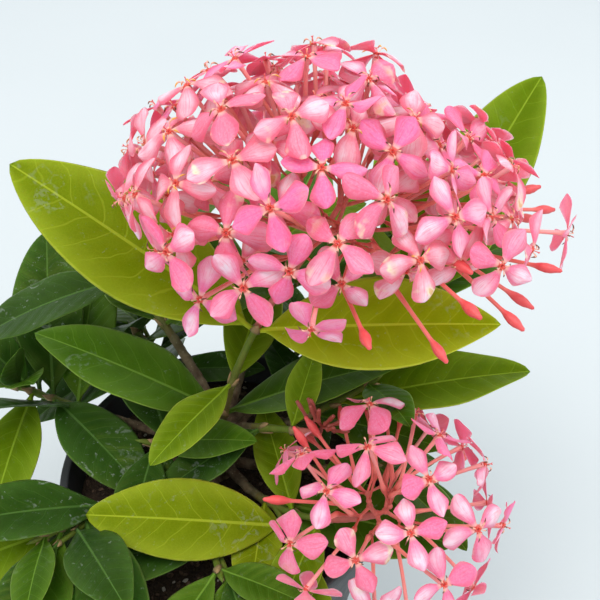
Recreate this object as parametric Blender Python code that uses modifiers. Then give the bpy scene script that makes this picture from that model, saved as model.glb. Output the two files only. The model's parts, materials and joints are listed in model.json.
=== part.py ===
"""Potted pink ixora: a small evergreen shrub in its nursery pot, whole, in metres.

The origin is the centre of the pot's flat underside and +Z is up. One trunk forks low into
boughs. Each bough carries one mass of leaves, and three of them end in a head of blossom.
"""
import math
import random

import bmesh
import bpy
from mathutils import Matrix, Vector
from mathutils.bvhtree import BVHTree

# Driving dimensions
GAP = 0.0003
POT_HEIGHT = 0.138
POT_RIM_RADIUS = 0.076
POT_FOOT_RADIUS = 0.054
POT_WALL = 0.0018
POT_FLOOR = 0.003
BAND_HEIGHT = 0.020
BAND_STEP = 0.0022
FOOT_CHAMFER = 0.002
RIM_ROUNDING = 0.0008
POT_STEPS = 40
DRAIN_HOLES = 6
DRAIN_RADIUS = 0.0045
DRAIN_RING = 0.036
SOIL_LEVEL = 0.125
SOIL_SAG = 0.004
SOIL_FLAT_RADIUS = 0.030
SOIL_STEPS = 24

TRUNK_FOOT = Vector((-0.005, 0.010, SOIL_LEVEL + GAP))
TRUNK_TOP = Vector((0.000, 0.010, 0.163))
TRUNK_RADIUS = 0.0047
TRUNK_TOP_RADIUS = 0.0036
FLARE_RADIUS = 0.0040
FLARE_HEIGHT = 0.0045
TRUNK_POINTS = 9
BOUGH_RADIUS = 0.0025
BOUGH_TIP_RADIUS = 0.0021
BOUGH_POINTS = 6
SHOOT_RADIUS = 0.0020
SHOOT_TIP_RADIUS = 0.0013
SHOOT_POINTS = 5
TWIG_LENGTH = 0.026
SHOOT_BUD_LENGTH = 0.006
TWIG_RADIUS = 0.0014
TWIG_TIP_RADIUS = 0.0011
TWIG_SHARE = 0.26
TWIG_LEAVES = ((0.60, 0.82, 0.5), (0.97, 0.62, 0.2))
NODE_SETBACK = 0.0035

LEAF_HALF_WIDTH = 0.200
LEAF_THICKNESS = 0.017
LEAF_FOLD = 0.16
LEAF_MARGIN = 1.04
LEAF_CLEARANCE = 0.0008
LEAF_JITTER = 9
LEAF_ROLL = 16
LEAF_STATIONS = ((0.0, 0.0), (0.30, 0.84), (0.66, 0.94), (1.0, 0.0))
BLADE_STATIONS = ((0.12, 0.40),) + LEAF_STATIONS[1:]
LEAF_TRIES = 14
STRAY_TURN = 42
STRAY_RISE = 34
STRAY_SHRINK = 0.16
LIGHT_PULL = 0.5

FLOWER_RADIUS = 0.0140
FLOWER_TUBE = 0.030
FLOWER_DROOP = 0.0012
FLOWER_DEPTH = 0.0011
TUBE_RADIUS = 0.0009
LOBE = ((-45, 0.20), (-17, 0.96), (17, 0.96))
TEST_SHARE = 0.6
FLOWER_TRIES = 24
FLOWER_GIVE = 0.26
DOME_GIVE = 0.07
TUBE_TO_HUB = 0.42
BLOOM_REACH = 0.062
RIM_ANGLE = 68
YOUNG_BUD_SIZE = 0.55
BUD_LENGTH = 0.012
BUD_RADIUS = 0.0024
PEDUNCLE_RADIUS = 0.0016
BRANCH_RADIUS = 0.0007
PEDICEL_RADIUS = 0.0005
KNOT_RADIUS = 0.0020

UP = Vector((0.0, 0.0, 1.0))
GOLDEN_ANGLE = math.pi * (3.0 - math.sqrt(5.0))

# Each axis leaves the trunk at the share "start" and follows one bend to its tip. The bough is the
# part below "split", the mass of leaves goes from there to "end", and a peduncle from there on.
# "turn" is the compass angle of the oldest pair of leaves, "sizes" the lengths of its pairs.
AXES = {
    "top": dict(start=1.0, bend=(0.008, 0.008, 0.215), tip=(0.043, 0.015, 0.266), split=0.0, end=0.56,
                turn=160, sizes=(0.092, 0.062, 0.118), pace=1.5, rise=68, droop=12, pull=0.20,
                twig=None, seed=16),
    "front": dict(start=0.33, bend=(0.022, -0.036, 0.136), tip=(0.066, -0.044, 0.166), split=0.34, end=0.76,
                  turn=184, sizes=(0.100, 0.074, 0.064), pace=1.0, rise=60, droop=22, twig=270, seed=30),
    "young": dict(start=0.78, bend=(0.016, -0.002, 0.172), tip=(0.042, -0.018, 0.186), split=0.40, end=0.84,
                  turn=60, sizes=(0.066, 0.056), pace=1.0, rise=60, droop=26, twig=None, seed=2),
    "right": dict(start=0.62, bend=(0.034, 0.008, 0.158), tip=(0.066, 0.004, 0.194), split=0.50, end=1.0,
                  turn=2, sizes=(0.100, 0.080, 0.072, 0.045), pace=0.8, rise=60, droop=28, twig=80,
                  seed=18),
    "right_back": dict(start=0.90, bend=(0.050, 0.034, 0.182), tip=(0.102, 0.056, 0.222), split=0.62,
                       end=1.0, turn=42, sizes=(0.080, 0.082, 0.104, 0.050), pace=0.8, rise=28, droop=20,
                       twig=330, seed=43),
    "back": dict(start=0.50, bend=(0.008, 0.052, 0.160), tip=(0.026, 0.082, 0.212), split=0.50, end=1.0,
                 turn=80, sizes=(0.082, 0.086, 0.076, 0.046), pace=0.8, rise=56, droop=36, twig=0, seed=15),
    "left_back": dict(start=0.86, bend=(-0.020, 0.048, 0.168), tip=(-0.050, 0.062, 0.214), split=0.56,
                      end=1.0, turn=190, sizes=(0.080, 0.082, 0.074, 0.046), pace=0.8, rise=60, droop=34,
                      twig=120, seed=22),
    "left": dict(start=0.42, bend=(-0.052, 0.026, 0.138), tip=(-0.104, 0.038, 0.154), split=0.64, end=1.0,
                 turn=72, sizes=(0.082, 0.084, 0.074, 0.048), pace=0.8, rise=54, droop=28, twig=160,
                 seed=32),
    "left_front": dict(start=0.28, bend=(-0.038, -0.014, 0.138), tip=(-0.074, -0.048, 0.154), split=0.58,
                       end=1.0, turn=200, sizes=(0.078, 0.082, 0.074, 0.046), pace=0.8, rise=64, droop=34,
                       twig=250, seed=37),
    "low_front": dict(start=0.12, bend=(-0.008, -0.030, 0.136), tip=(0.002, -0.062, 0.150), split=0.52,
                      end=1.0, turn=260, sizes=(0.076, 0.080, 0.070, 0.044), pace=0.8, rise=66, droop=36,
                      twig=300, seed=37),
    "low_right": dict(start=0.20, bend=(0.034, -0.002, 0.134), tip=(0.078, -0.006, 0.150), split=0.56,
                      end=1.0, turn=300, sizes=(0.074, 0.078, 0.068, 0.044), pace=0.8, rise=66, droop=36,
                      twig=320, seed=66),
    "low_back": dict(start=0.36, bend=(0.016, 0.044, 0.140), tip=(0.040, 0.072, 0.152), split=0.56,
                     end=1.0, turn=50, sizes=(0.074, 0.080, 0.070, 0.044), pace=0.8, rise=64, droop=36,
                     twig=20, seed=67),
    "low_left": dict(start=0.76, bend=(-0.024, 0.044, 0.142), tip=(-0.050, 0.074, 0.156), split=0.56,
                     end=1.0, turn=120, sizes=(0.074, 0.080, 0.070, 0.044), pace=0.8, rise=64, droop=36,
                     twig=110, seed=66),
    "inner": dict(start=0.53, bend=(-0.014, 0.004, 0.146), tip=(-0.034, -0.002, 0.160), split=0.36, end=1.0,
                  turn=185, sizes=(0.080, 0.074, 0.060), pace=0.8, rise=72, droop=26, twig=None, seed=30),
}
# Leaves that stand clear of the rest: the axis, the pair counted from below and its side, then the
# compass angle, the rise over level, the arch, the roll and the length. The pairs of the side twig are
# counted on after those of the axis itself.
CLEAR_LEAVES = {
    ("top", 0, 0): (170, 30, 12, 0, 0.091),
    ("top", 0, 1): (-14, 12, 14, 0, 0.094),
    ("top", 1, 0): (232, 2, 16, 0, 0.052),
    ("top", 2, 0): (161, 33, 10, -22, 0.120),
    ("top", 2, 1): (-12, 17, 14, 26, 0.100),
    ("front", 0, 0): (250, 8, 16, 0, 0.060),
    ("front", 0, 1): (-15, -3, 12, 0, 0.096),
    ("front", 1, 1): (122, 40, 14, 0, 0.054),
    ("front", 2, 0): (50, -2, 14, 0, 0.050),
    ("front", 2, 1): (240, -4, 14, 0, 0.056),
    ("front", 3, 1): (187, 13, 16, -26, 0.087),
    ("young", 0, 1): (206, -12, 18, 0, 0.056),
    ("young", 1, 0): (60, 66, 14, 0, 0.040),
    ("low_left", 0, 1): (352, 24, 18, 0, 0.052),
    ("right", 0, 0): (-18, 8, 16, 0, 0.062),
    ("right", 1, 0): (0, 20, 14, 0, 0.090),
    ("right_back", 1, 1): (62, 36, 14, 0, 0.070),
    ("right_back", 2, 0): (118, 20, 16, 0, 0.070),
    ("right_back", 2, 1): (44, 46, 10, 10, 0.102),
    ("right_back", 4, 0): (84, 16, 14, 0, 0.060),
    ("right_back", 4, 1): (206, -12, 14, 0, 0.050),
    ("right_back", 5, 1): (76, 20, 14, 0, 0.050),
    ("low_right", 1, 0): (24, 4, 16, 0, 0.050),
    ("low_right", 3, 1): (-70, -6, 16, 0, 0.040),
    ("left_back", 0, 0): (124, -6, 16, 0, 0.066),
    ("left_back", 1, 0): (122, 34, 16, 0, 0.066),
    ("left_back", 2, 1): (194, -2, 30, 0, 0.080),
    ("left", 1, 0): (98, 40, 22, 0, 0.088),
    ("left", 2, 0): (154, 30, 22, 0, 0.072),
    ("left", 2, 1): (262, -4, 22, 0, 0.072),
    ("left", 1, 1): (312, 4, 22, 0, 0.078),
    ("left_front", 0, 1): (204, 30, 20, 0, 0.078),
    ("left_front", 2, 0): (262, 0, 20, 0, 0.070),
    ("left_front", 5, 0): (196, -8, 20, 0, 0.045),
    ("low_front", 3, 0): (236, -8, 18, 0, 0.052),
    ("low_front", 5, 0): (256, -10, 20, 0, 0.048),
    ("inner", 2, 1): (262, 0, 16, 0, 0.056),
}
# A head stands on the tip of its axis, its hub. The dome of flowers has the half widths "west", "east",
# "front", "back" and "high" about a centre "lift" above the hub, and reaches "reach" degrees round. Its
# east shoulder is lower by the share "fall". Buds take the place of flowers within "spread" degrees of
# the compass angle "budding", at the dome's rim.
HEADS = {
    "top": dict(flowers=76, west=0.073, east=0.091, front=0.066, back=0.053, high=0.057, fall=0.56,
                lift=0.014, lean=(0.07, 0.02), reach=96, buds=12, budding=-25, spread=60,
                tube=FLOWER_TUBE, branches=(7, 24), forks=(0.22, 0.42), seed=41),
    "young": dict(flowers=0, west=0.012, east=0.012, front=0.012, back=0.012, high=0.014, fall=0.0,
                  lift=0.0, lean=(0.0, 0.0), reach=80, buds=9, budding=0, spread=180, tube=0.005,
                  branches=(1, 3), forks=(0.15, 0.30), seed=47),
    "front": dict(flowers=25, west=0.049, east=0.049, front=0.044, back=0.044, high=0.044, fall=0.0,
                  lift=0.004, lean=(0.16, -0.30), reach=98, buds=10, budding=110, spread=75, tube=FLOWER_TUBE,
                  branches=(3, 8), forks=(0.10, 0.20), seed=43),
}


def trunk_point(share):
    """Centre of the trunk: upright at the cut, then leaning in one slow bow."""
    lean = share * share * (3.0 - 2.0 * share)
    point = TRUNK_FOOT.lerp(TRUNK_TOP, lean)
    point.z = TRUNK_FOOT.z + share * (TRUNK_TOP.z - TRUNK_FOOT.z)
    return point


def trunk_radius(share):
    height = share * (TRUNK_TOP.z - TRUNK_FOOT.z)
    taper = TRUNK_RADIUS + (TRUNK_TOP_RADIUS - TRUNK_RADIUS) * share
    return taper + FLARE_RADIUS * math.exp(-height / FLARE_HEIGHT)


def axis_point(axis, share):
    start, bend, tip = trunk_point(axis["start"]), Vector(axis["bend"]), Vector(axis["tip"])
    return start * (1 - share) ** 2 + bend * (2 * share * (1 - share)) + tip * share**2


def axis_direction(axis, share):
    start, bend, tip = trunk_point(axis["start"]), Vector(axis["bend"]), Vector(axis["tip"])
    return ((bend - start) * (1 - share) + (tip - bend) * share).normalized()


def across(direction, towards):
    """Unit vector nearest to "towards" and square to the direction."""
    return (towards - direction * towards.dot(direction)).normalized()


def leaf_at(base, stem, compass, rise, droop, roll, length, pull):
    """One leaf: it starts off the stem at the angle "rise" and arches over by "droop"."""
    axis = stem.lerp(UP, pull).normalized()
    angle = math.radians(compass)
    out = across(axis, Vector((math.cos(angle), math.sin(angle), 0.0)))
    tilt = math.radians(rise)
    ahead = (axis * math.cos(tilt) + out * math.sin(tilt)).normalized()
    face = across(ahead, axis.lerp(UP, LIGHT_PULL))
    face = Matrix.Rotation(math.radians(roll), 3, ahead) @ face
    return dict(base=base, ahead=ahead, face=face, side=ahead.cross(face), length=length,
                droop=math.radians(droop))


def leaf_point(leaf, share, sideways=0.0, lifted=0.0):
    """Point on the leaf: along its arch, across its blade and over its face."""
    turn = leaf["droop"] * share
    reach = math.sin(turn) / leaf["droop"]
    drop = (1 - math.cos(turn)) / leaf["droop"]
    middle = leaf["base"] + (leaf["ahead"] * reach - leaf["face"] * drop) * leaf["length"]
    face = leaf["face"] * math.cos(turn) + leaf["ahead"] * math.sin(turn)
    return middle + leaf["side"] * sideways + face * lifted


def shoot_leaves(name, axis):
    """All the leaves that one axis would carry, oldest first, and the stems of its side twigs."""
    rng = random.Random(axis["seed"])
    wishes, twigs = [], []
    pairs = len(axis["sizes"])

    def pair(node, stem, turn, rise, droop, length, age, number=None):
        for side in (0, 1):
            wish = dict(base=node, stem=stem,
                        compass=turn + 180 * side + rng.uniform(-LEAF_JITTER, LEAF_JITTER),
                        rise=rise + rng.uniform(-6, 6), droop=droop * rng.uniform(0.7, 1.2),
                        roll=rng.uniform(-LEAF_ROLL, LEAF_ROLL), length=length * rng.uniform(0.94, 1.06),
                        age=age, first=False)
            if (name, number, side) in CLEAR_LEAVES:
                heading, over_level, arch, roll, size = CLEAR_LEAVES[name, number, side]
                wish.update(stem=UP, compass=heading, rise=90 - over_level, droop=arch, roll=roll,
                            length=size, first=True)
            wishes.append(wish)

    for k, size in enumerate(axis["sizes"]):
        along = ((k + 0.30) / (pairs - 0.62)) ** axis["pace"]
        share = axis["split"] + (axis["end"] - axis["split"]) * along
        share = min(share, axis["end"] - NODE_SETBACK / axis_length(axis))
        pair(axis_point(axis, share), axis_direction(axis, share), axis["turn"] + 90 * k,
             axis["rise"] + 8 - 8 * k, axis["droop"], size, 1.0 - k / pairs, k)
    if axis["twig"] is not None:
        share = axis["split"] + TWIG_SHARE * (axis["end"] - axis["split"])
        foot, stem = axis_point(axis, share), axis_direction(axis, share)
        angle = math.radians(axis["twig"])
        heading = (stem + UP * 0.3 + Vector((math.cos(angle), math.sin(angle), 0.0)) * 1.1).normalized()
        tip = foot + heading * TWIG_LENGTH
        twigs.append((foot, tip))
        for k, (along, size, age) in enumerate(TWIG_LEAVES):
            pair(foot.lerp(tip, along), heading, axis["twig"] + 90 + 90 * k, axis["rise"] - 8,
                 axis["droop"], size * max(axis["sizes"]), age, pairs + k)
    return wishes, twigs


def leaf_rings(leaf, wider=1.0, thicker=0.0, stations=LEAF_STATIONS):
    """Rings of four points up the blade: edge, face, edge and back. The last station is the tip."""
    half = leaf["length"] * LEAF_HALF_WIDTH
    thick = leaf["length"] * LEAF_THICKNESS / 2
    rings = []
    for share, width in stations:
        edge = half * width * wider
        lift = edge * LEAF_FOLD
        if width == 0.0:
            rings.append([leaf_point(leaf, share)])
            continue
        rings.append([
            leaf_point(leaf, share, -edge, lift),
            leaf_point(leaf, share, 0.0, thick + thicker),
            leaf_point(leaf, share, edge, lift),
            leaf_point(leaf, share, 0.0, -thick - thicker),
        ])
    return rings


def ring_faces(rings):
    """Points and faces of a closed loft through rings of equal count; a ring of one is a point."""
    points, starts, faces = [], [], []
    for ring in rings:
        starts.append(len(points))
        points += ring
    for (low, a), (high, b) in zip(zip(rings, starts), zip(rings[1:], starts[1:])):
        count = max(len(low), len(high))
        for i in range(count):
            j = (i + 1) % count
            if len(low) == 1:
                faces.append((a, b + j, b + i))
            elif len(high) == 1:
                faces.append((a + i, a + j, b))
            else:
                faces.append((a + i, a + j, b + j, b + i))
    if len(rings[0]) > 1:
        faces.append(tuple(starts[0] + i for i in reversed(range(len(rings[0])))))
    if len(rings[-1]) > 1:
        faces.append(tuple(starts[-1] + i for i in range(len(rings[-1]))))
    return points, faces


def tree_of(points, faces):
    """Search tree of a loft, split into triangles."""
    triangles = []
    for face in faces:
        triangles += [(face[0], face[i], face[i + 1]) for i in range(1, len(face) - 1)]
    return BVHTree.FromPolygons([tuple(p) for p in points], triangles, all_triangles=True)


def square_ring(centre, along, towards, radius, count=4):
    first = across(along, towards)
    second = along.cross(first)
    return [centre + (first * math.cos(a) + second * math.sin(a)) * radius
            for a in (2 * math.pi * i / count for i in range(count))]


def stem_rings(points, radii, count=3):
    """Rings of a twig along a list of centres."""
    rings = []
    for i, (point, radius) in enumerate(zip(points, radii)):
        along = (points[min(i + 1, len(points) - 1)] - points[max(i - 1, 0)]).normalized()
        towards = Vector((1.0, 0.0, 0.0)) if abs(along.z) > 0.6 else UP
        rings.append(square_ring(point, along, towards, radius, count))
    return rings


def dome_place(head, hub, compass, theta, rng, loose):
    """Place and facing of one flower on the dome, with the give that flowers in a head have."""
    lean = Vector((head["lean"][0], head["lean"][1], 1.0)).normalized()
    east = across(lean, Vector((1.0, 0.0, 0.0)))
    north = lean.cross(east)
    x, y, z = math.sin(theta) * math.cos(compass), math.sin(theta) * math.sin(compass), math.cos(theta)
    out = 1.0 + rng.uniform(-DOME_GIVE, DOME_GIVE) * loose - head["fall"] * max(0.0, x) * max(0.0, z)
    wide = head["east"] if x > 0.0 else head["west"]
    deep = head["back"] if y > 0.0 else head["front"]
    place = (hub + lean * head["lift"]
             + (east * (wide * x) + north * (deep * y) + lean * (head["high"] * z)) * out)
    facing = (east * (x / wide) + north * (y / deep) + lean * (z / head["high"])).normalized()
    give = Vector((rng.uniform(-1, 1), rng.uniform(-1, 1), rng.uniform(-1, 1))) * (FLOWER_GIVE * loose)
    facing = (facing + give).normalized()
    return place, facing


def flower_at(head, hub, compass, theta, rng, loose=1.0):
    place, facing = dome_place(head, hub, compass, theta, rng, loose)
    inward = (-facing).lerp((hub - place).normalized(), TUBE_TO_HUB).normalized()
    foot = place + inward * head["tube"]
    return dict(place=place, facing=facing, foot=foot, spin=rng.uniform(0, math.pi / 2),
                size=rng.uniform(0.94, 1.06), tint=rng.random())


def flower_outline(flower):
    """Twelve points of the four broad lobes, then the ring where the tube starts."""
    side = across(flower["facing"], UP if abs(flower["facing"].z) < 0.9 else Vector((1.0, 0.0, 0.0)))
    side = Matrix.Rotation(flower["spin"], 3, flower["facing"]) @ side
    other = flower["facing"].cross(side)
    reach = FLOWER_RADIUS * flower["size"]
    outline = []
    for lobe in range(4):
        for offset, share in LOBE:
            a = math.radians(90 * lobe + offset)
            drop = flower["facing"] * (FLOWER_DROOP * share**2)
            spoke = side * math.cos(a) + other * math.sin(a)
            outline.append(flower["place"] + spoke * (reach * share) - drop)
    ring = []
    for lobe in range(4):
        a = math.radians(90 * lobe - 45)
        ring.append(flower["place"] - flower["facing"] * FLOWER_DEPTH
                    + (side * math.cos(a) + other * math.sin(a)) * TUBE_RADIUS)
    return outline, ring


def flower_mesh(flower, rooted=True, share=TEST_SHARE):
    """Closed flower: face, backs of the lobes and tube, then the pedicel down to its fork."""
    outline, ring = flower_outline(flower)
    shift = flower["foot"] - flower["place"]
    if not rooted:
        shift = shift * share
    foot = [point + shift for point in ring]
    points = outline + ring + foot + [flower["place"] + flower["facing"] * 0.0001]
    faces = [(i, (i + 1) % 12, 20) for i in range(12)]
    for lobe in range(4):
        a, b = 3 * lobe, (3 * lobe + 3) % 12
        here, following = 12 + lobe, 12 + (lobe + 1) % 4
        faces += [(a + 1, a, here), (a + 2, a + 1, here), (a + 2, here, following), (b, a + 2, following)]
        faces.append((here + 4, following + 4, following, here))
    if not rooted:
        return points, faces + [(16, 19, 18, 17)]
    middle = sum(foot, Vector()) / 4
    root = [flower["root"] + (point - middle) * (PEDICEL_RADIUS / TUBE_RADIUS) for point in foot]
    points += root
    for lobe in range(4):
        here, following = 16 + lobe, 16 + (lobe + 1) % 4
        faces.append((here + 5, following + 5, following, here))
    return points, faces + [(21, 24, 23, 22)]


def bud_mesh(bud, rooted=True, share=TEST_SHARE):
    """Closed bud: a spindle on its tube and pedicel."""
    along = (bud["place"] - bud["foot"]).normalized()
    towards = Vector((1.0, 0.0, 0.0)) if abs(along.z) > 0.6 else UP
    size = bud["size"]
    start = bud["foot"] if rooted else bud["place"].lerp(bud["foot"], share)
    length = BUD_LENGTH * size
    rings = [square_ring(start, along, towards, TUBE_RADIUS),
             square_ring(bud["place"] - along * (0.55 * length), along, towards, TUBE_RADIUS),
             square_ring(bud["place"] + along * (0.05 * length), along, towards, BUD_RADIUS * size),
             [bud["place"] + along * (0.45 * length)]]
    if rooted:
        rings.insert(0, square_ring(bud["root"], along, towards, PEDICEL_RADIUS))
    return ring_faces(rings)


def head_blooms(head, hub, free):
    """Flowers and buds of one head. One that would cut another is turned a little, or left out."""
    rng = random.Random(head["seed"])
    flowers, buds, trees = [], [], []
    reach = math.cos(math.radians(head["reach"]))
    budding, spread = math.radians(head["budding"]), math.radians(head["spread"])

    def clear(tree, place):
        return not any((place - other).length < BLOOM_REACH and tree.overlap(taken) for taken, other in trees)

    for i in range(head["flowers"]):
        theta = math.acos(1 - (1 - reach) * (i + 0.5) / head["flowers"])
        compass = i * GOLDEN_ANGLE
        away = abs((compass - budding + math.pi) % (2 * math.pi) - math.pi)
        if away < spread and theta > math.radians(RIM_ANGLE) and i % 2:
            continue
        for attempt in range(FLOWER_TRIES):
            flower = flower_at(head, hub, compass, theta, rng, 1.0 + attempt / FLOWER_TRIES)
            tree = tree_of(*flower_mesh(flower, rooted=False))
            if clear(tree, flower["place"]) and free(*flower_mesh(flower, False, 1.0)):
                trees.append((tree, flower["place"]))
                flowers.append(flower)
                break
    for i in range(head["buds"]):
        for attempt in range(FLOWER_TRIES):
            low, high = (RIM_ANGLE, head["reach"] + 12) if head["flowers"] else (0, head["reach"])
            theta = math.radians(rng.uniform(low, high))
            compass = budding + spread * rng.uniform(-1, 1)
            bud = flower_at(head, hub, compass, theta, rng, 1.0)
            if not head["flowers"]:
                bud["size"] *= YOUNG_BUD_SIZE
            tree = tree_of(*bud_mesh(bud, rooted=False))
            if clear(tree, bud["place"]) and free(*bud_mesh(bud, False, 1.0)):
                trees.append((tree, bud["place"]))
                buds.append(bud)
                break
    return flowers, buds


def head_branches(head, hub, blooms):
    """Forks of the head as knots, and the stalks between them. Each bloom is given its fork."""
    made = []
    loose = random.Random(head["seed"] + 1)
    shrink = 1.0 if head["flowers"] else 0.5
    for count, share in zip(head["branches"], head["forks"]):
        forks = []
        for i in range(count):
            theta = math.acos(1 - (1 - math.cos(math.radians(head["reach"] - 8))) * (i + 0.5) / count)
            place, _ = dome_place(head, hub, i * GOLDEN_ANGLE + share, theta, loose, 0.0)
            forks.append(hub.lerp(place, share))
        made.append(forks)
    firsts, seconds = made
    knots, stalks = [(hub, KNOT_RADIUS)], []
    used = set()
    for bloom in blooms:
        nearest = min(range(len(seconds)), key=lambda n: (seconds[n] - bloom["foot"]).length)
        used.add(nearest)
        bloom["root"] = seconds[nearest]
    carried = set()
    for n in sorted(used):
        nearest = min(range(len(firsts)), key=lambda m: (firsts[m] - seconds[n]).length)
        carried.add(nearest)
        knots.append((seconds[n], 0.7 * KNOT_RADIUS * shrink))
        stalks.append((firsts[nearest], seconds[n], BRANCH_RADIUS, PEDICEL_RADIUS))
    for m in sorted(carried):
        knots.append((firsts[m], 0.85 * KNOT_RADIUS * shrink))
        stalks.append((hub, firsts[m], 1.3 * BRANCH_RADIUS, BRANCH_RADIUS))
    return knots, stalks


def axis_points(axis, low, high, count):
    return [axis_point(axis, low + (high - low) * i / (count - 1)) for i in range(count)]


def axis_length(axis):
    points = axis_points(axis, 0.0, 1.0, 24)
    return sum((b - a).length for a, b in zip(points, points[1:]))


def axis_gap(axis):
    """Share of the axis that makes the clear gap between two solids."""
    return 1.3 * GAP / axis_length(axis)


def shoot_span(axis):
    """Shares of the axis between which the mass of leaves has its stem."""
    return axis["split"] + axis_gap(axis), axis["end"] - (axis_gap(axis) if axis["end"] < 1.0 else 0.0)


def shoot_stem(axis, low, high):
    """Rings of the stem of a mass, with a pointed bud where it ends in leaves."""
    shares = [low + (high - low) * i / (SHOOT_POINTS - 1) for i in range(SHOOT_POINTS)]
    rings = []
    for i, share in enumerate(shares):
        along = axis_direction(axis, share)
        radius = SHOOT_RADIUS + (SHOOT_TIP_RADIUS - SHOOT_RADIUS) * i / (SHOOT_POINTS - 1)
        towards = Vector((1.0, 0.0, 0.0)) if abs(along.z) > 0.6 else UP
        rings.append(square_ring(axis_point(axis, share), along, towards, radius, 5))
    if axis["end"] == 1.0:
        rings.append([axis_point(axis, 1.0) + axis_direction(axis, 1.0) * SHOOT_BUD_LENGTH])
    return ring_faces(rings)


def stalk_mesh(start, end, thick, thin):
    """Three-sided stalk from the middle of one knot to the middle of the next."""
    return ring_faces(stem_rings([start, end], [thick, thin]))


def knot_mesh(centre, radius):
    """Swelling at a fork: eight faces."""
    rings = [[centre - UP * radius], square_ring(centre, UP, Vector((1.0, 0.3, 0.0)), radius),
             [centre + UP * radius]]
    return ring_faces(rings)


def pot_wall(height):
    """Outer radius of the pot under its band."""
    return POT_FOOT_RADIUS + (POT_RIM_RADIUS - BAND_STEP - POT_FOOT_RADIUS) * height / POT_HEIGHT


def pot_envelope():
    """Rim, wall and soil as rings, for keeping leaves off them."""
    def ring(radius, height):
        return [Vector((radius * math.cos(a), radius * math.sin(a), height))
                for a in (2 * math.pi * i / 24 for i in range(24))]

    rings = [ring(pot_wall(0.0), 0.0), ring(POT_RIM_RADIUS, POT_HEIGHT),
             ring(POT_RIM_RADIUS - 0.005, POT_HEIGHT),
             ring(POT_RIM_RADIUS - 0.007, SOIL_LEVEL), [Vector((0.0, 0.0, SOIL_LEVEL + 0.001))]]
    return ring_faces(rings)


def grow_plant():
    """The whole plant as lists of stems, leaves and blooms. Nothing in it touches anything else."""
    taken = []

    def add(points, faces, owner=None):
        centre = sum(points, Vector()) / len(points)
        taken.append((tree_of(points, faces), centre, max((p - centre).length for p in points), owner))

    def clear(points, faces, owner=None):
        tree = tree_of(points, faces)
        centre = sum(points, Vector()) / len(points)
        radius = max((p - centre).length for p in points)
        return not any((centre - other).length < radius + size and tree.overlap(solid)
                       for solid, other, size, holder in taken if owner is None or holder != owner)

    add(*pot_envelope())
    trunk = [trunk_point(i / 6) for i in range(7)]
    add(*ring_faces(stem_rings(trunk, [trunk_radius(i / 6) for i in range(7)], 6)))
    plant = {}
    for name, axis in AXES.items():
        if axis["split"] > 0.0:
            add(*ring_faces(stem_rings(axis_points(axis, 0.12, axis["split"], 5), [BOUGH_RADIUS] * 5, 5)))
        add(*shoot_stem(axis, *shoot_span(axis)), name)
        plant[name] = dict(leaves=[], twigs=[], flowers=[], buds=[], knots=[], stalks=[])
    for name, head in HEADS.items():
        hub = Vector(AXES[name]["tip"])
        flowers, buds = head_blooms(head, hub, clear)
        knots, stalks = head_branches(head, hub, flowers + buds)
        plant[name].update(flowers=flowers, buds=buds, knots=knots, stalks=stalks)
        for flower in flowers:
            add(*flower_mesh(flower))
        for bud in buds:
            add(*bud_mesh(bud))
        for stalk in stalks:
            add(*stalk_mesh(*stalk))
        peduncle = axis_points(AXES[name], AXES[name]["end"], 1.0, 4)
        add(*ring_faces(stem_rings(peduncle, [PEDUNCLE_RADIUS] * 4)))
    waiting = []
    for name, axis in AXES.items():
        wishes, plant[name]["twigs"] = shoot_leaves(name, axis)
        for foot, tip in plant[name]["twigs"]:
            add(*stalk_mesh(foot, tip, TWIG_RADIUS, TWIG_TIP_RADIUS), name)
        waiting += [(not wish["first"], name, number, wish) for number, wish in enumerate(wishes)]
    waiting.sort(key=lambda item: item[0])
    for _, name, number, wish in waiting:
        axis = AXES[name]
        rng = random.Random(100 * axis["seed"] + number)
        for attempt in range(LEAF_TRIES):
            stray = attempt / (LEAF_TRIES - 1)
            leaf = leaf_at(wish["base"], wish["stem"],
                           wish["compass"] + STRAY_TURN * stray * rng.uniform(-1, 1),
                           wish["rise"] + STRAY_RISE * stray * rng.uniform(-1, 1), wish["droop"],
                           wish["roll"] + LEAF_ROLL * stray * rng.uniform(-1, 1),
                           wish["length"] * (1 - STRAY_SHRINK * stray), axis.get("pull", LIGHT_PULL))
            leaf.update(age=wish["age"], first=wish["first"], tries=attempt)
            whole = ring_faces(leaf_rings(leaf, LEAF_MARGIN, LEAF_CLEARANCE))
            blade = ring_faces(leaf_rings(leaf, LEAF_MARGIN, LEAF_CLEARANCE, BLADE_STATIONS))
            if clear(*whole, name) and clear(*blade):
                add(*ring_faces(leaf_rings(leaf, stations=BLADE_STATIONS)), name)
                plant[name]["leaves"].append(leaf)
                break
    return plant


# The solids
for leftover in list(bpy.data.objects):
    bpy.data.objects.remove(leftover, do_unlink=True)

parts = bpy.data.collections.new("Potted pink ixora")
cutters = bpy.data.collections.new("Cutters")
joined = bpy.data.collections.new("Pieces of one mass")
for collection in (parts, cutters, joined):
    bpy.context.scene.collection.children.link(collection)


def finish(name, colour, roughness):
    material = bpy.data.materials.new(name)
    material.use_nodes = True
    shader = material.node_tree.nodes["Principled BSDF"]
    shader.inputs["Base Color"].default_value = (*colour, 1.0)
    shader.inputs["Roughness"].default_value = roughness
    shader.inputs["Metallic"].default_value = 0.0
    return material


POT_PLASTIC = finish("pot_plastic", (0.045, 0.048, 0.050), 0.55)
SOIL_MIX = finish("soil_mix", (0.035, 0.020, 0.012), 0.95)
BARK = finish("bark", (0.13, 0.085, 0.045), 0.85)
FOLIAGE = finish("foliage", (0.075, 0.19, 0.025), 0.40)
BLOSSOM = finish("blossom", (0.85, 0.16, 0.27), 0.50)


def new_object(name, mesh, material, collection):
    obj = bpy.data.objects.new(name, mesh)
    if not mesh.materials:
        mesh.materials.append(material)
    collection.objects.link(obj)
    return obj


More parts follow.
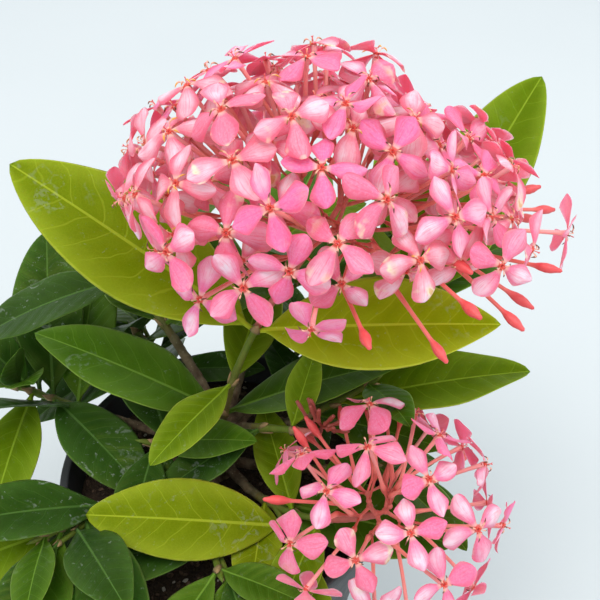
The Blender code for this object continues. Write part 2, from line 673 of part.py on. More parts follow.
def loft_object(name, points, faces, material, collection):
    mesh = bpy.data.meshes.new(name)
    mesh.from_pydata([tuple(p) for p in points], [], faces)
    return new_object(name, mesh, material, collection)


def settle(obj):
    """The object's modifiers become part of its mesh."""
    graph = bpy.context.evaluated_depsgraph_get()
    mesh = bpy.data.meshes.new_from_object(obj.evaluated_get(graph))
    obj.modifiers.clear()
    old, obj.data = obj.data, mesh
    bpy.data.meshes.remove(old)
    return obj


def limb(name, points, radii, material, collection):
    """Round tapering limb along a list of centres, as a mesh."""
    curve = bpy.data.curves.new(name + "_line", "CURVE")
    curve.dimensions = "3D"
    curve.bevel_depth = 1.0
    curve.bevel_resolution = 2
    curve.use_fill_caps = True
    spline = curve.splines.new("POLY")
    spline.points.add(len(points) - 1)
    for place, centre, radius in zip(spline.points, points, radii):
        place.co = (*centre, 1.0)
        place.radius = radius
    line = bpy.data.objects.new(name + "_line", curve)
    collection.objects.link(line)
    graph = bpy.context.evaluated_depsgraph_get()
    mesh = bpy.data.meshes.new_from_object(line.evaluated_get(graph))
    welded = bmesh.new()
    welded.from_mesh(mesh)
    bmesh.ops.remove_doubles(welded, verts=welded.verts, dist=1e-6)
    bmesh.ops.recalc_face_normals(welded, faces=welded.faces)
    welded.to_mesh(mesh)
    welded.free()
    obj = new_object(name, mesh, material, collection)
    obj.matrix_world = line.matrix_world
    bpy.data.objects.remove(line)
    bpy.data.curves.remove(curve)
    mesh.materials.clear()
    mesh.materials.append(material)
    mesh.shade_smooth()
    return obj


def turned(name, profile, steps, material):
    """Solid of revolution from a profile that runs down its outer side."""
    mesh = bpy.data.meshes.new(name)
    mesh.from_pydata([(radius, 0.0, height) for radius, height in profile],
                     [(i, i + 1) for i in range(len(profile) - 1)], [])
    obj = new_object(name, mesh, material, parts)
    screw = obj.modifiers.new("Turn", "SCREW")
    screw.axis = "Z"
    screw.steps = steps
    screw.render_steps = steps
    screw.use_merge_vertices = True
    screw.merge_threshold = 1e-5
    screw.use_smooth_shade = True
    return obj


def keep_outer_shell(obj):
    """Fills what the union sealed in and drops loose scraps: only the largest outer shell stays."""
    body = bmesh.new()
    body.from_mesh(obj.data)
    bmesh.ops.triangulate(body, faces=body.faces)
    waiting, shells = set(body.faces), []
    while waiting:
        shell, edge = set(), [waiting.pop()]
        while edge:
            face = edge.pop()
            shell.add(face)
            for line in face.edges:
                for other in line.link_faces if len(line.link_faces) == 2 else ():
                    if other in waiting:
                        waiting.discard(other)
                        edge.append(other)
        volume = sum(f.verts[0].co.dot(f.verts[1].co.cross(f.verts[2].co)) for f in shell) / 6
        shells.append((volume, shell))
    largest = max(shells, key=lambda s: s[0])[1]
    bmesh.ops.delete(body, geom=[f for f in body.faces if f not in largest], context="FACES")
    body.to_mesh(obj.data)
    body.free()


def fuse(obj):
    """Joins the pieces waiting in their collection to the object, then removes them."""
    union = obj.modifiers.new("Join", "BOOLEAN")
    union.operation = "UNION"
    union.operand_type = "COLLECTION"
    union.collection = joined
    union.solver = "MANIFOLD"
    settle(obj)
    for piece in list(joined.objects):
        mesh = piece.data
        bpy.data.objects.remove(piece)
        bpy.data.meshes.remove(mesh)
    keep_outer_shell(obj)
    return obj


# Pot: one turned wall with a band round its rim, and drain holes through its flat floor
pot = turned("pot", [
    (0.0, POT_FLOOR),
    (pot_wall(POT_FLOOR) - POT_WALL, POT_FLOOR),
    (pot_wall(POT_HEIGHT) - POT_WALL, POT_HEIGHT - RIM_ROUNDING),
    (pot_wall(POT_HEIGHT) - POT_WALL + RIM_ROUNDING, POT_HEIGHT),
    (POT_RIM_RADIUS - RIM_ROUNDING, POT_HEIGHT),
    (POT_RIM_RADIUS, POT_HEIGHT - RIM_ROUNDING),
    (pot_wall(POT_HEIGHT - BAND_HEIGHT) + BAND_STEP, POT_HEIGHT - BAND_HEIGHT),
    (pot_wall(POT_HEIGHT - BAND_HEIGHT), POT_HEIGHT - BAND_HEIGHT - RIM_ROUNDING),
    (pot_wall(FOOT_CHAMFER), FOOT_CHAMFER),
    (pot_wall(0.0) - FOOT_CHAMFER, 0.0),
    (0.0, 0.0),
], POT_STEPS, POT_PLASTIC)
for i in range(DRAIN_HOLES):
    angle = 2 * math.pi * i / DRAIN_HOLES
    spot = (DRAIN_RING * math.cos(angle), DRAIN_RING * math.sin(angle), 0.0)
    bpy.ops.mesh.primitive_cylinder_add(vertices=16, radius=DRAIN_RADIUS, depth=3 * POT_FLOOR, location=spot)
    hole = bpy.context.object
    hole.name = f"drain_cutter_{i + 1}"
    for home in list(hole.users_collection):
        home.objects.unlink(hole)
    cutters.objects.link(hole)
    hole.hide_render = True
    hole.display_type = "WIRE"
    cut = pot.modifiers.new(f"Drain {i + 1}", "BOOLEAN")
    cut.operation = "DIFFERENCE"
    cut.object = hole

# Soil: fills the pot to a thumb's width under the rim, and sags a little towards the wall
soil_top = pot_wall(SOIL_LEVEL - SOIL_SAG) - POT_WALL - GAP
turned("soil", [
    (0.0, SOIL_LEVEL),
    (SOIL_FLAT_RADIUS, SOIL_LEVEL),
    (soil_top - SOIL_SAG, SOIL_LEVEL - 0.6 * SOIL_SAG),
    (soil_top, SOIL_LEVEL - SOIL_SAG),
    (pot_wall(POT_FLOOR + GAP) - POT_WALL - GAP, POT_FLOOR + GAP),
    (0.0, POT_FLOOR + GAP),
], SOIL_STEPS, SOIL_MIX)

# Trunk: a flat cut on the soil, a flare over it, then a slow taper to the top
trunk_shares = [0.0, 0.03] + [0.08 + 0.92 * (i / (TRUNK_POINTS - 1)) ** 1.2 for i in range(TRUNK_POINTS)]
trunk_centres = [trunk_point(share) for share in trunk_shares]
limb("trunk", trunk_centres, [trunk_radius(share) for share in trunk_shares], BARK, parts)
sleeve = limb("trunk_sleeve",
              [trunk_centres[0] - UP * 0.002] + trunk_centres + [trunk_centres[-1] + UP * GAP],
              [trunk_radius(0.0) + GAP] + [trunk_radius(share) + GAP for share in trunk_shares + [1.0]],
              BARK, cutters)
sleeve.hide_render = True
sleeve.display_type = "WIRE"

plant = grow_plant()
for name, axis in AXES.items():
    grown = plant[name]
    # Bough: from the side of the trunk to where it enters its mass
    if axis["split"] > 0.0:
        shares = [axis["split"] * i / (BOUGH_POINTS - 1) for i in range(BOUGH_POINTS)]
        shares.insert(-1, axis["split"] * 0.985)
        radii = [BOUGH_RADIUS + (BOUGH_TIP_RADIUS - BOUGH_RADIUS) * s / axis["split"] for s in shares]
        bough = limb(f"bough_{name}", [axis_point(axis, s) for s in shares], radii, BARK, parts)
        cut = bough.modifiers.new("Clear of trunk", "BOOLEAN")
        cut.operation = "DIFFERENCE"
        cut.object = sleeve
    # Mass of leaves: its stem and side twigs, with the leaves' roots sunk in them
    for foot, tip in grown["twigs"]:
        loft_object("twig", *stalk_mesh(foot, tip, TWIG_RADIUS, TWIG_TIP_RADIUS), FOLIAGE, joined)
    for leaf in grown["leaves"]:
        loft_object("leaf", *ring_faces(leaf_rings(leaf)), FOLIAGE, joined)
    fuse(loft_object(f"leaves_{name}", *shoot_stem(axis, *shoot_span(axis)), FOLIAGE, parts))

# Heads of blossom: a peduncle, its forked stalks, and the open flowers and buds on them
for name, head in HEADS.items():
    axis, grown = AXES[name], plant[name]
    for knot in grown["knots"]:
        loft_object("knot", *knot_mesh(*knot), BLOSSOM, joined)
    for stalk in grown["stalks"]:
        loft_object("stalk", *stalk_mesh(*stalk), BLOSSOM, joined)
    for flower in grown["flowers"]:
        loft_object("flower", *flower_mesh(flower), BLOSSOM, joined)
    for bud in grown["buds"]:
        loft_object("bud", *bud_mesh(bud), BLOSSOM, joined)
    low = axis["end"] + axis_gap(axis)
    centres = axis_points(axis, low, 1.0, 5)
    radii = [SHOOT_TIP_RADIUS] + [PEDUNCLE_RADIUS] * 4
    fuse(loft_object(f"blossom_{name}", *ring_faces(stem_rings(centres, radii, 5)), BLOSSOM, parts))
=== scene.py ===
"""Potted pink ixora, dressed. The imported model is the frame: pot, soil, bark, blossom and leaves are
made over it in the order in which such a plant is put together, in metres, +Z up."""

import json
import math
import random

import bpy
from mathutils import Matrix, Vector, noise
from mathutils.bvhtree import BVHTree

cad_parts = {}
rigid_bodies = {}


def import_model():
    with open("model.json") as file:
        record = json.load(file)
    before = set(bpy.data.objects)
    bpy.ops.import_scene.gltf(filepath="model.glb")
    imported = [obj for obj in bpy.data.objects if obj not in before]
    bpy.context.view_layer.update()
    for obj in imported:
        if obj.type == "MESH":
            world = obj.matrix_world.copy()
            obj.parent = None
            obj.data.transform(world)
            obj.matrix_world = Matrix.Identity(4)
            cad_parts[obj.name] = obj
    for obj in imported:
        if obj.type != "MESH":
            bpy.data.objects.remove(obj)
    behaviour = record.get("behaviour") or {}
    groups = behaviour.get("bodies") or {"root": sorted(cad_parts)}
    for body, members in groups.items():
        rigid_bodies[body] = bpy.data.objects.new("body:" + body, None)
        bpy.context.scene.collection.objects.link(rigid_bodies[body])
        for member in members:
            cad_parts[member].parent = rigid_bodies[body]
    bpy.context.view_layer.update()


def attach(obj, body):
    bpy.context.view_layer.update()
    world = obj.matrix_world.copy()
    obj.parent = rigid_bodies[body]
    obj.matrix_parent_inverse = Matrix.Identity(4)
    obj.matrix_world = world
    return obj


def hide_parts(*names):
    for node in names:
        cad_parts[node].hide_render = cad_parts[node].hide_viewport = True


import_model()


# Table top, light and camera
# A pale matt top that runs out of sight, one large soft light from above and the left with a weak
# one from the right, and the camera where the photograph was taken from, looking down on the head.
FLOOR_HALF = 12.0
FLOOR_LEVEL = -0.0002
FLOOR_PALE = (0.553, 0.586, 0.590, 1.0)
FLOOR_SHADE = (0.541, 0.575, 0.580, 1.0)
SKY_COLOUR = (0.90, 0.95, 1.0, 1.0)
SKY_STRENGTH = 1.08
# Each soft light: its name, place, width, power and colour
LIGHTS = (("key", (-0.60, -0.45, 2.2), 1.3, 27.0, (1.0, 0.985, 0.96)),
          ("fill", (1.3, -0.4, 1.7), 1.6, 17.0, (0.96, 0.985, 1.0)))
LIGHT_AIM = Vector((0.0, 0.0, 0.2))
CAMERA_PLACE = (0.0346, -0.2649, 0.4919)
CAMERA_DOWN = 43.0
CAMERA_FIELD = 35.5
CAMERA_NEAR = 0.01
FILM_WIDTH = 36.0


def new_object(name, data):
    made = bpy.data.objects.new(name, data)
    bpy.context.scene.collection.objects.link(made)
    return made


def mesh_object(name, points, faces, smooth=True):
    mesh = bpy.data.meshes.new(name)
    mesh.from_pydata([tuple(p) for p in points], [], faces)
    mesh.polygons.foreach_set("use_smooth", [smooth] * len(mesh.polygons))
    return new_object(name, mesh)


def node(tree, kind, inputs=None, **settings):
    """A new node. Each input is a value or the socket that feeds it."""
    made = tree.nodes.new(kind)
    for name, value in settings.items():
        setattr(made, name, value)
    for name, value in (inputs or {}).items():
        if isinstance(value, bpy.types.NodeSocket):
            tree.links.new(value, made.inputs[name])
        else:
            made.inputs[name].default_value = value
    return made


def reckon(tree, operation, a, b=0.0):
    return node(tree, "ShaderNodeMath", {0: a, 1: b}, operation=operation).outputs[0]


def times(tree, a, b):
    return reckon(tree, "MULTIPLY", a, b)


def between(tree, value, low, high, bottom=0.0, top=1.0):
    """Soft step from bottom to top as the value goes from low to high."""
    limits = {"Value": value, "From Min": low, "From Max": high, "To Min": bottom, "To Max": top}
    return node(tree, "ShaderNodeMapRange", limits, interpolation_type="SMOOTHSTEP").outputs[0]


def mixed(tree, factor, first, second):
    """Colour that goes from the first to the second as the factor goes from 0 to 1."""
    return node(tree, "ShaderNodeMix", {0: factor, 6: first, 7: second}, data_type="RGBA").outputs[2]


def clouds(tree, place, scale, detail=2.0, roughness=0.5):
    return node(tree, "ShaderNodeTexNoise", {"Vector": place, "Scale": scale, "Detail": detail,
                                             "Roughness": roughness}).outputs[0]


def own_place(tree):
    return node(tree, "ShaderNodeTexCoord").outputs["Object"]


def finish(name, roughness, constants=None):
    """A new material, with what is the same all over set on the shader's own sockets."""
    made = bpy.data.materials.new(name)
    made.use_nodes = True
    shader = made.node_tree.nodes["Principled BSDF"]
    shader.inputs["Roughness"].default_value = roughness
    for socket, value in (constants or {}).items():
        shader.inputs[socket].default_value = value
    return made, made.node_tree, shader


def feed(tree, shader, colour, roughness, height, depth, strength=1.0):
    """Feeds the shader what changes over the surface. No roughness leaves the shader's own."""
    tree.links.new(colour, shader.inputs["Base Color"])
    if roughness is not None:
        tree.links.new(roughness, shader.inputs["Roughness"])
    bump = node(tree, "ShaderNodeBump", {"Height": height, "Distance": depth, "Strength": strength})
    tree.links.new(bump.outputs["Normal"], shader.inputs["Normal"])


def new_group(name, inputs, outputs, kind="ShaderNodeTree"):
    """A node group with named inputs and outputs, where an input may have a value to start with."""
    tree = bpy.data.node_groups.new(name, kind)
    for label, socket, *value in inputs:
        made = tree.interface.new_socket(label, in_out="INPUT", socket_type=socket)
        if value:
            made.default_value = value[0]
    for label, socket in outputs:
        tree.interface.new_socket(label, in_out="OUTPUT", socket_type=socket)
    return tree, tree.nodes.new("NodeGroupInput").outputs, tree.nodes.new("NodeGroupOutput").inputs


# Mottle: the uneven patches and the fine grain that every surface here has at its own scale
MOTTLE, given, out = new_group("mottle", [
    ("Scale", "NodeSocketFloat", 100.0), ("Stretch", "NodeSocketVector", (1.0, 1.0, 1.0)),
    ("Fine", "NodeSocketFloat", 6.0)], [("Patches", "NodeSocketFloat"), ("Grain", "NodeSocketFloat")])
place = node(MOTTLE, "ShaderNodeVectorMath", {0: own_place(MOTTLE), 1: given["Stretch"]},
             operation="MULTIPLY").outputs[0]
broad = clouds(MOTTLE, place, given["Scale"], 4.0)
small = clouds(MOTTLE, place, times(MOTTLE, given["Scale"], given["Fine"]), 3.0, 0.65)
MOTTLE.links.new(between(MOTTLE, broad, 0.34, 0.66), out["Patches"])
MOTTLE.links.new(between(MOTTLE, small, 0.30, 0.70), out["Grain"])


def mottle(tree, scale, stretch=(1.0, 1.0, 1.0), fine=6.0):
    sizes = {"Scale": scale, "Stretch": stretch, "Fine": fine}
    made = node(tree, "ShaderNodeGroup", sizes, node_tree=MOTTLE)
    return made.outputs["Patches"], made.outputs["Grain"]


floor_material, tree, shader = finish("table_top", 0.62)
patches, grain = mottle(tree, 3.0, fine=30.0)
feed(tree, shader, mixed(tree, patches, FLOOR_PALE, FLOOR_SHADE), None, grain, 0.0002, 0.2)
corners = [(x * FLOOR_HALF, y * FLOOR_HALF, FLOOR_LEVEL) for x, y in ((-1, -1), (1, -1), (1, 1), (-1, 1))]
floor = mesh_object("table_top", corners, [(0, 1, 2, 3)], smooth=False)
floor.data.materials.append(floor_material)

studio = bpy.data.worlds.new("studio")
studio.use_nodes = True
sky = studio.node_tree.nodes["Background"].inputs
sky["Color"].default_value = SKY_COLOUR
sky["Strength"].default_value = SKY_STRENGTH
bpy.context.scene.world = studio
bpy.context.scene.view_settings.view_transform = "Standard"

for name, place, width, power, colour in LIGHTS:
    light = bpy.data.lights.new(name, "AREA")
    light.size, light.energy, light.color = width, power, colour
    lamp = new_object(name, light)
    lamp.location = place
    lamp.rotation_euler = (LIGHT_AIM - Vector(place)).to_track_quat("-Z", "Y").to_euler()

lens = bpy.data.cameras.new("camera")
lens.sensor_width = FILM_WIDTH
lens.lens = FILM_WIDTH / 2 / math.tan(math.radians(CAMERA_FIELD / 2))
lens.clip_start = CAMERA_NEAR
camera = new_object("camera", lens)
camera.location = CAMERA_PLACE
camera.rotation_euler = (math.radians(90.0 - CAMERA_DOWN), 0.0, 0.0)
bpy.context.scene.camera = camera


# Pot
# A plain round nursery pot, blow-moulded in thin charcoal plastic: a rolled band round the rim, a
# straight taper, a small chamfer at the foot and six drain holes through the flat floor.
POT_HEIGHT = 0.138
POT_RIM_RADIUS = 0.076
POT_FOOT_RADIUS = 0.054
POT_WALL = 0.0018
POT_FLOOR = 0.003
BAND_HEIGHT = 0.020
BAND_STEP = 0.0022
BAND_EDGE = 0.0008
FOOT_CHAMFER = 0.002
DRAIN_HOLES = 6
DRAIN_RADIUS = 0.0045
DRAIN_RING = 0.036
DRAIN_TURNS = 24
DRILL_OVERRUN = 0.004
LIP = 0.0009
POT_TURNS = 120
CHARCOAL = (0.022, 0.024, 0.026, 1.0)
CHARCOAL_WORN = (0.036, 0.038, 0.040, 1.0)
POT_DUST = (0.16, 0.13, 0.10, 1.0)


def pot_wall(height):
    """Outer radius of the pot under its band."""
    return POT_FOOT_RADIUS + (POT_RIM_RADIUS - BAND_STEP - POT_FOOT_RADIUS) * height / POT_HEIGHT


def ring_faces(rings):
    """Points and faces of a closed loft through rings of equal count; a ring of one is a point."""
    points, starts, faces = [], [], []
    for ring in rings:
        starts.append(len(points))
        points += ring
    for (low, a), (high, b) in zip(zip(rings, starts), zip(rings[1:], starts[1:])):
        count = max(len(low), len(high))
        for i in range(count):
            j = (i + 1) % count
            if len(low) == 1:
                faces.append((a, b + j, b + i))
            elif len(high) == 1:
                faces.append((a + i, a + j, b))
            else:
                faces.append((a + i, a + j, b + j, b + i))
    if len(rings[0]) > 1:
        faces.append(tuple(starts[0] + i for i in reversed(range(len(rings[0])))))
    if len(rings[-1]) > 1:
        faces.append(tuple(starts[-1] + i for i in range(len(rings[-1]))))
    return points, faces


def angles(count):
    return [2 * math.pi * i / count for i in range(count)]


def round_ring(radius, height, count):
    """Level ring about the pot's axis."""
    return [Vector((radius * math.cos(a), radius * math.sin(a), height)) for a in angles(count)]


def turned(profile, turns):
    """Points and faces of a turned shape. A place of the profile on the axis is a single point."""
    return ring_faces([round_ring(radius, height, turns if radius else 1) for radius, height in profile])


def rounded(radius, height, size, first, last, steps=4):
    """Quarter rounding of an edge, between two compass angles of the profile."""
    return [(radius + size * math.cos(math.radians(a)), height + size * math.sin(math.radians(a)))
            for a in (first + (last - first) * i / steps for i in range(steps + 1))]


band_foot = POT_HEIGHT - BAND_HEIGHT
pot_profile = [(0.0, 0.0), (pot_wall(0.0) - FOOT_CHAMFER - 0.0006, 0.0)]
pot_profile += [(pot_wall(0.0) - FOOT_CHAMFER, 0.0002)]
pot_profile += [(pot_wall(FOOT_CHAMFER) - 0.0004, FOOT_CHAMFER - 0.0004)]
pot_profile += [(pot_wall(h), h) for h in (FOOT_CHAMFER, 0.02, 0.05, 0.08, 0.10, band_foot - 0.0014)]
pot_profile += rounded(pot_wall(band_foot) + BAND_STEP - BAND_EDGE, band_foot + 0.0002, BAND_EDGE, -90, 0)
pot_profile += [(POT_RIM_RADIUS - 0.0003, POT_HEIGHT - 0.006), (POT_RIM_RADIUS, POT_HEIGHT - 0.0045)]
pot_profile += rounded(POT_RIM_RADIUS - LIP, POT_HEIGHT - LIP, LIP, 0, 90)
pot_profile += rounded(pot_wall(POT_HEIGHT) - POT_WALL + LIP, POT_HEIGHT - LIP, LIP, 90, 180)
pot_profile += [(pot_wall(h) - POT_WALL, h) for h in (0.13, 0.10, 0.05, POT_FLOOR + 0.001)]
pot_profile += [(pot_wall(POT_FLOOR) - POT_WALL - 0.001, POT_FLOOR), (0.0, POT_FLOOR)]
pot = mesh_object("pot_shell", *turned(pot_profile, POT_TURNS))
for centre in round_ring(DRAIN_RING, 0.0, DRAIN_HOLES):
    rings = [[centre + point for point in round_ring(DRAIN_RADIUS, height, DRAIN_TURNS)]
             for height in (-DRILL_OVERRUN, POT_FLOOR + DRILL_OVERRUN)]
    drill = mesh_object("drill", *ring_faces(rings), smooth=False)
    hole = pot.modifiers.new("Drain", "BOOLEAN")
    hole.object, hole.operation = drill, "DIFFERENCE"
    mesh = bpy.data.meshes.new_from_object(pot.evaluated_get(bpy.context.evaluated_depsgraph_get()))
    pot.modifiers.clear()
    pot.data = mesh
    bpy.data.objects.remove(drill)

pot_material, tree, shader = finish("charcoal_plastic", 0.5, {"IOR": 1.5, "Specular IOR Level": 0.4})
patches, grain = mottle(tree, 60.0, (1.0, 1.0, 0.35), 14.0)
height = node(tree, "ShaderNodeSeparateXYZ", {0: own_place(tree)}).outputs[2]
dust = times(tree, between(tree, height, 0.030, 0.0), grain)
colour = mixed(tree, patches, CHARCOAL, CHARCOAL_WORN)
colour = mixed(tree, times(tree, dust, 0.5), colour, POT_DUST)
feed(tree, shader, colour, between(tree, patches, 0.0, 1.0, 0.42, 0.58), grain, 0.00012, 0.5)
pot.data.materials.clear()
pot.data.materials.append(pot_material)


def dress(piece, slot, *nodes):
    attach(piece, "root")
    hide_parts(*nodes)


dress(pot, "pot_plastic", "pot")


# Soil
# Potting mix of peat and composted bark, filled to a thumb's width under the rim and watered down,
# with bark chips and a few pale grains of grit lying loose on top.
GAP = 0.0003
SOIL_LEVEL = 0.125
SOIL_SAG = 0.004
SOIL_FLAT_RADIUS = 0.030
SOIL_RINGS = 46
SOIL_TURNS = 110
CHIPS = 900
CHIP_SIZE = 0.0030
CHIP_KINDS = 5
CHIP_CORNERS = 6
TINT_SEED = 77
SOIL_DARK = (0.020, 0.012, 0.008, 1.0)
SOIL_BROWN = (0.050, 0.030, 0.018, 1.0)
SOIL_CRUMB = (0.085, 0.055, 0.034, 1.0)
CHIP_DARK = (0.045, 0.025, 0.014, 1.0)
CHIP_PALE = (0.16, 0.095, 0.055, 1.0)
GRIT_PALE = (0.42, 0.38, 0.32, 1.0)

soil_top = pot_wall(SOIL_LEVEL - SOIL_SAG) - POT_WALL - GAP
rings = [round_ring(0.0, SOIL_LEVEL, 1)]
for k in range(1, SOIL_RINGS + 1):
    radius = soil_top * k / SOIL_RINGS
    sag = SOIL_SAG * max(0.0, (radius - SOIL_FLAT_RADIUS) / (soil_top - SOIL_FLAT_RADIUS)) ** 1.6
    ring = []
    for i in range(SOIL_TURNS):
        angle = -2 * math.pi * i / SOIL_TURNS
        spot = Vector((radius * math.cos(angle), radius * math.sin(angle), 0.0))
        lumps = 0.0011 * noise.noise(spot * 90.0) + 0.0006 * noise.noise(spot * 330.0)
        spot.z = SOIL_LEVEL - sag + (lumps if k < SOIL_RINGS else 0.0)
        ring.append(spot)
    rings.append(ring)
foot_radius = pot_wall(POT_FLOOR + GAP) - POT_WALL - GAP
foot_centre = Vector((0.0, 0.0, POT_FLOOR + GAP))
rings.append([Vector((p.x, p.y, 0.0)).normalized() * foot_radius + foot_centre for p in rings[-1]])
rings.append([foot_centre])
soil = mesh_object("soil_bed", *ring_faces(rings))

soil_material, tree, shader = finish("potting_mix", 0.95, {"Specular IOR Level": 0.25})
patches, grain = mottle(tree, 160.0, fine=5.0)
colour = mixed(tree, patches, SOIL_DARK, SOIL_BROWN)
colour = mixed(tree, times(tree, grain, 0.6), colour, SOIL_CRUMB)
feed(tree, shader, colour, between(tree, grain, 0.0, 1.0, 0.8, 1.0), grain, 0.0009)
soil.data.materials.append(soil_material)


def point_value(tree, label):
    """A value that the points of the piece carry."""
    return node(tree, "ShaderNodeAttribute", attribute_name=label).outputs["Fac"]


chip_material, tree, shader = finish("bark_chip", 0.85)
patches, grain = mottle(tree, 220.0, fine=4.0)
colour = mixed(tree, patches, CHIP_DARK, CHIP_PALE)
colour = mixed(tree, between(tree, point_value(tree, "tint"), 0.90, 0.93), colour, GRIT_PALE)
feed(tree, shader, colour, None, grain, 0.0004)

tools = bpy.data.collections.new("originals")
bpy.context.scene.collection.children.link(tools)


def move_to_tools(piece):
    bpy.context.scene.collection.objects.unlink(piece)
    tools.objects.link(piece)


def empty_tools():
    for original in list(tools.objects):
        bpy.data.objects.remove(original)


rng = random.Random(5)
for number in range(CHIP_KINDS):
    ring = [Vector((math.cos(a) * rng.uniform(0.7, 1.2), math.sin(a) * rng.uniform(0.45, 0.8), 0.0))
            * CHIP_SIZE / 2 for a in angles(CHIP_CORNERS)]
    lift = Vector((0.0, 0.0, CHIP_SIZE * rng.uniform(0.12, 0.26)))
    rings = [[p - lift for p in ring], [p * 1.08 for p in ring], [p * 0.9 + lift for p in ring]]
    move_to_tools(mesh_object(f"chip_{number}", *ring_faces(rings), smooth=False))


def geometry_tree(name, inputs):
    geometry = ("Geometry", "NodeSocketGeometry")
    return new_group(name, [geometry] + inputs, [geometry], "GeometryNodeTree")


def set_down(tree, given, out, points, turn, size, chosen=None):
    """Ends a tree: an original on each point, by chance or as chosen, made real and coated."""
    pieces = node(tree, "GeometryNodeCollectionInfo", {"Collection": given["Originals"],
                                                       "Separate Children": True})
    setting = {"Points": points, "Instance": pieces.outputs[0], "Pick Instance": True, "Scale": size,
               "Rotation": node(tree, "FunctionNodeEulerToRotation", {0: turn}).outputs[0]}
    if chosen is not None:
        setting["Instance Index"] = chosen
    placed = node(tree, "GeometryNodeInstanceOnPoints", setting)
    real = node(tree, "GeometryNodeRealizeInstances", {"Geometry": placed.outputs[0]})
    coated = node(tree, "GeometryNodeSetMaterial", {"Geometry": real.outputs[0],
                                                    "Material": given["Finish"]})
    tree.links.new(coated.outputs[0], out["Geometry"])


def grown(carrier, tree, values, name):
    """The tree's result on the carrier, as a plain mesh of its own."""
    modifier = carrier.modifiers.new("Repeat", "NODES")
    modifier.node_group = tree
    for item in tree.interface.items_tree:
        if item.item_type == "SOCKET" and item.in_out == "INPUT" and item.name in values:
            modifier[item.identifier] = values[item.name]
    carrier.update_tag()
    graph = bpy.context.evaluated_depsgraph_get()
    mesh = bpy.data.meshes.new_from_object(carrier.evaluated_get(graph))
    carrier.modifiers.remove(modifier)
    mesh.name = name
    return new_object(name, mesh)


# Scatter: lays one of the originals, turned and sized by chance, on the upward faces of a surface
SCATTER, given, out = geometry_tree("scatter", [
    ("Originals", "NodeSocketCollection"), ("Density", "NodeSocketFloat"), ("Least", "NodeSocketFloat"),
    ("Most", "NodeSocketFloat"), ("Tilt", "NodeSocketFloat"), ("Seed", "NodeSocketInt"),
    ("Finish", "NodeSocketMaterial")])
normal = node(SCATTER, "GeometryNodeInputNormal").outputs[0]
normal = node(SCATTER, "ShaderNodeSeparateXYZ", {0: normal}).outputs[2]
upward = node(SCATTER, "FunctionNodeCompare", {"A": normal, "B": 0.5}, data_type="FLOAT").outputs[0]
spots = node(SCATTER, "GeometryNodeDistributePointsOnFaces", {
    "Mesh": given["Geometry"], "Selection": upward, "Density": given["Density"], "Seed": given["Seed"]})
back = times(SCATTER, given["Tilt"], -1.0)
turn_low = node(SCATTER, "ShaderNodeCombineXYZ", {0: back, 1: back}).outputs[0]
turn_high = node(SCATTER, "ShaderNodeCombineXYZ", {0: given["Tilt"], 1: given["Tilt"], 2: 6.283}).outputs[0]
turn, size, chance = (
    node(SCATTER, "FunctionNodeRandomValue", limits, data_type=kind).outputs[number]
    for number, kind, limits in (
        (0, "FLOAT_VECTOR", {0: turn_low, 1: turn_high, "Seed": given["Seed"]}),
        (1, "FLOAT", {2: given["Least"], 3: given["Most"], "Seed": given["Seed"]}),
        (1, "FLOAT", {2: 0.0, 3: 1.0, "Seed": TINT_SEED})))
tinted = node(SCATTER, "GeometryNodeStoreNamedAttribute", {
    "Geometry": spots.outputs["Points"], "Name": "tint", "Value": chance}, data_type="FLOAT", domain="POINT")
set_down(SCATTER, given, out, tinted.outputs[0], turn, size)

chips = grown(soil, SCATTER, {"Originals": tools, "Density": CHIPS / (math.pi * soil_top**2), "Least": 0.35,
                              "Most": 1.25, "Tilt": 0.45, "Seed": 3, "Finish": chip_material}, "soil_chips")
empty_tools()
dress(soil, "soil_mix", "soil")
dress(chips, "soil_mix", "soil")


# Trunk and boughs
# One short brown stem, flared where it leaves the soil, forks low into thirteen thin boughs. The
# bark is thin, with shallow cracks along the stem, pale corky dots and rings left by old leaves.
TRUNK_FOOT = Vector((-0.005, 0.010, SOIL_LEVEL + GAP))
TRUNK_TOP = Vector((0.000, 0.010, 0.163))
TRUNK_RADIUS = 0.0047
TRUNK_TOP_RADIUS = 0.0036
FLARE_RADIUS = 0.0040
FLARE_HEIGHT = 0.0045
BOUGH_RADIUS = 0.0025
BOUGH_TIP_RADIUS = 0.0021
TRUNK_SIDES = 44
TRUNK_STEPS = 84
BOUGH_SIDES = 20
BOUGH_STEPS = 44
SCAR_SPACING = 0.0105
SCAR_SWELL = 0.00028
SCAR_WIDTH = 0.0007
COLLAR_SWELL = 0.0011
COLLAR_LENGTH = 0.006
BARK_BROWN = (0.085, 0.055, 0.030, 1.0)
BARK_PALE = (0.20, 0.145, 0.085, 1.0)
BARK_DOT = (0.34, 0.27, 0.18, 1.0)
BARK_GREEN = (0.085, 0.095, 0.030, 1.0)
UP = Vector((0.0, 0.0, 1.0))
EAST = Vector((1.0, 0.0, 0.0))

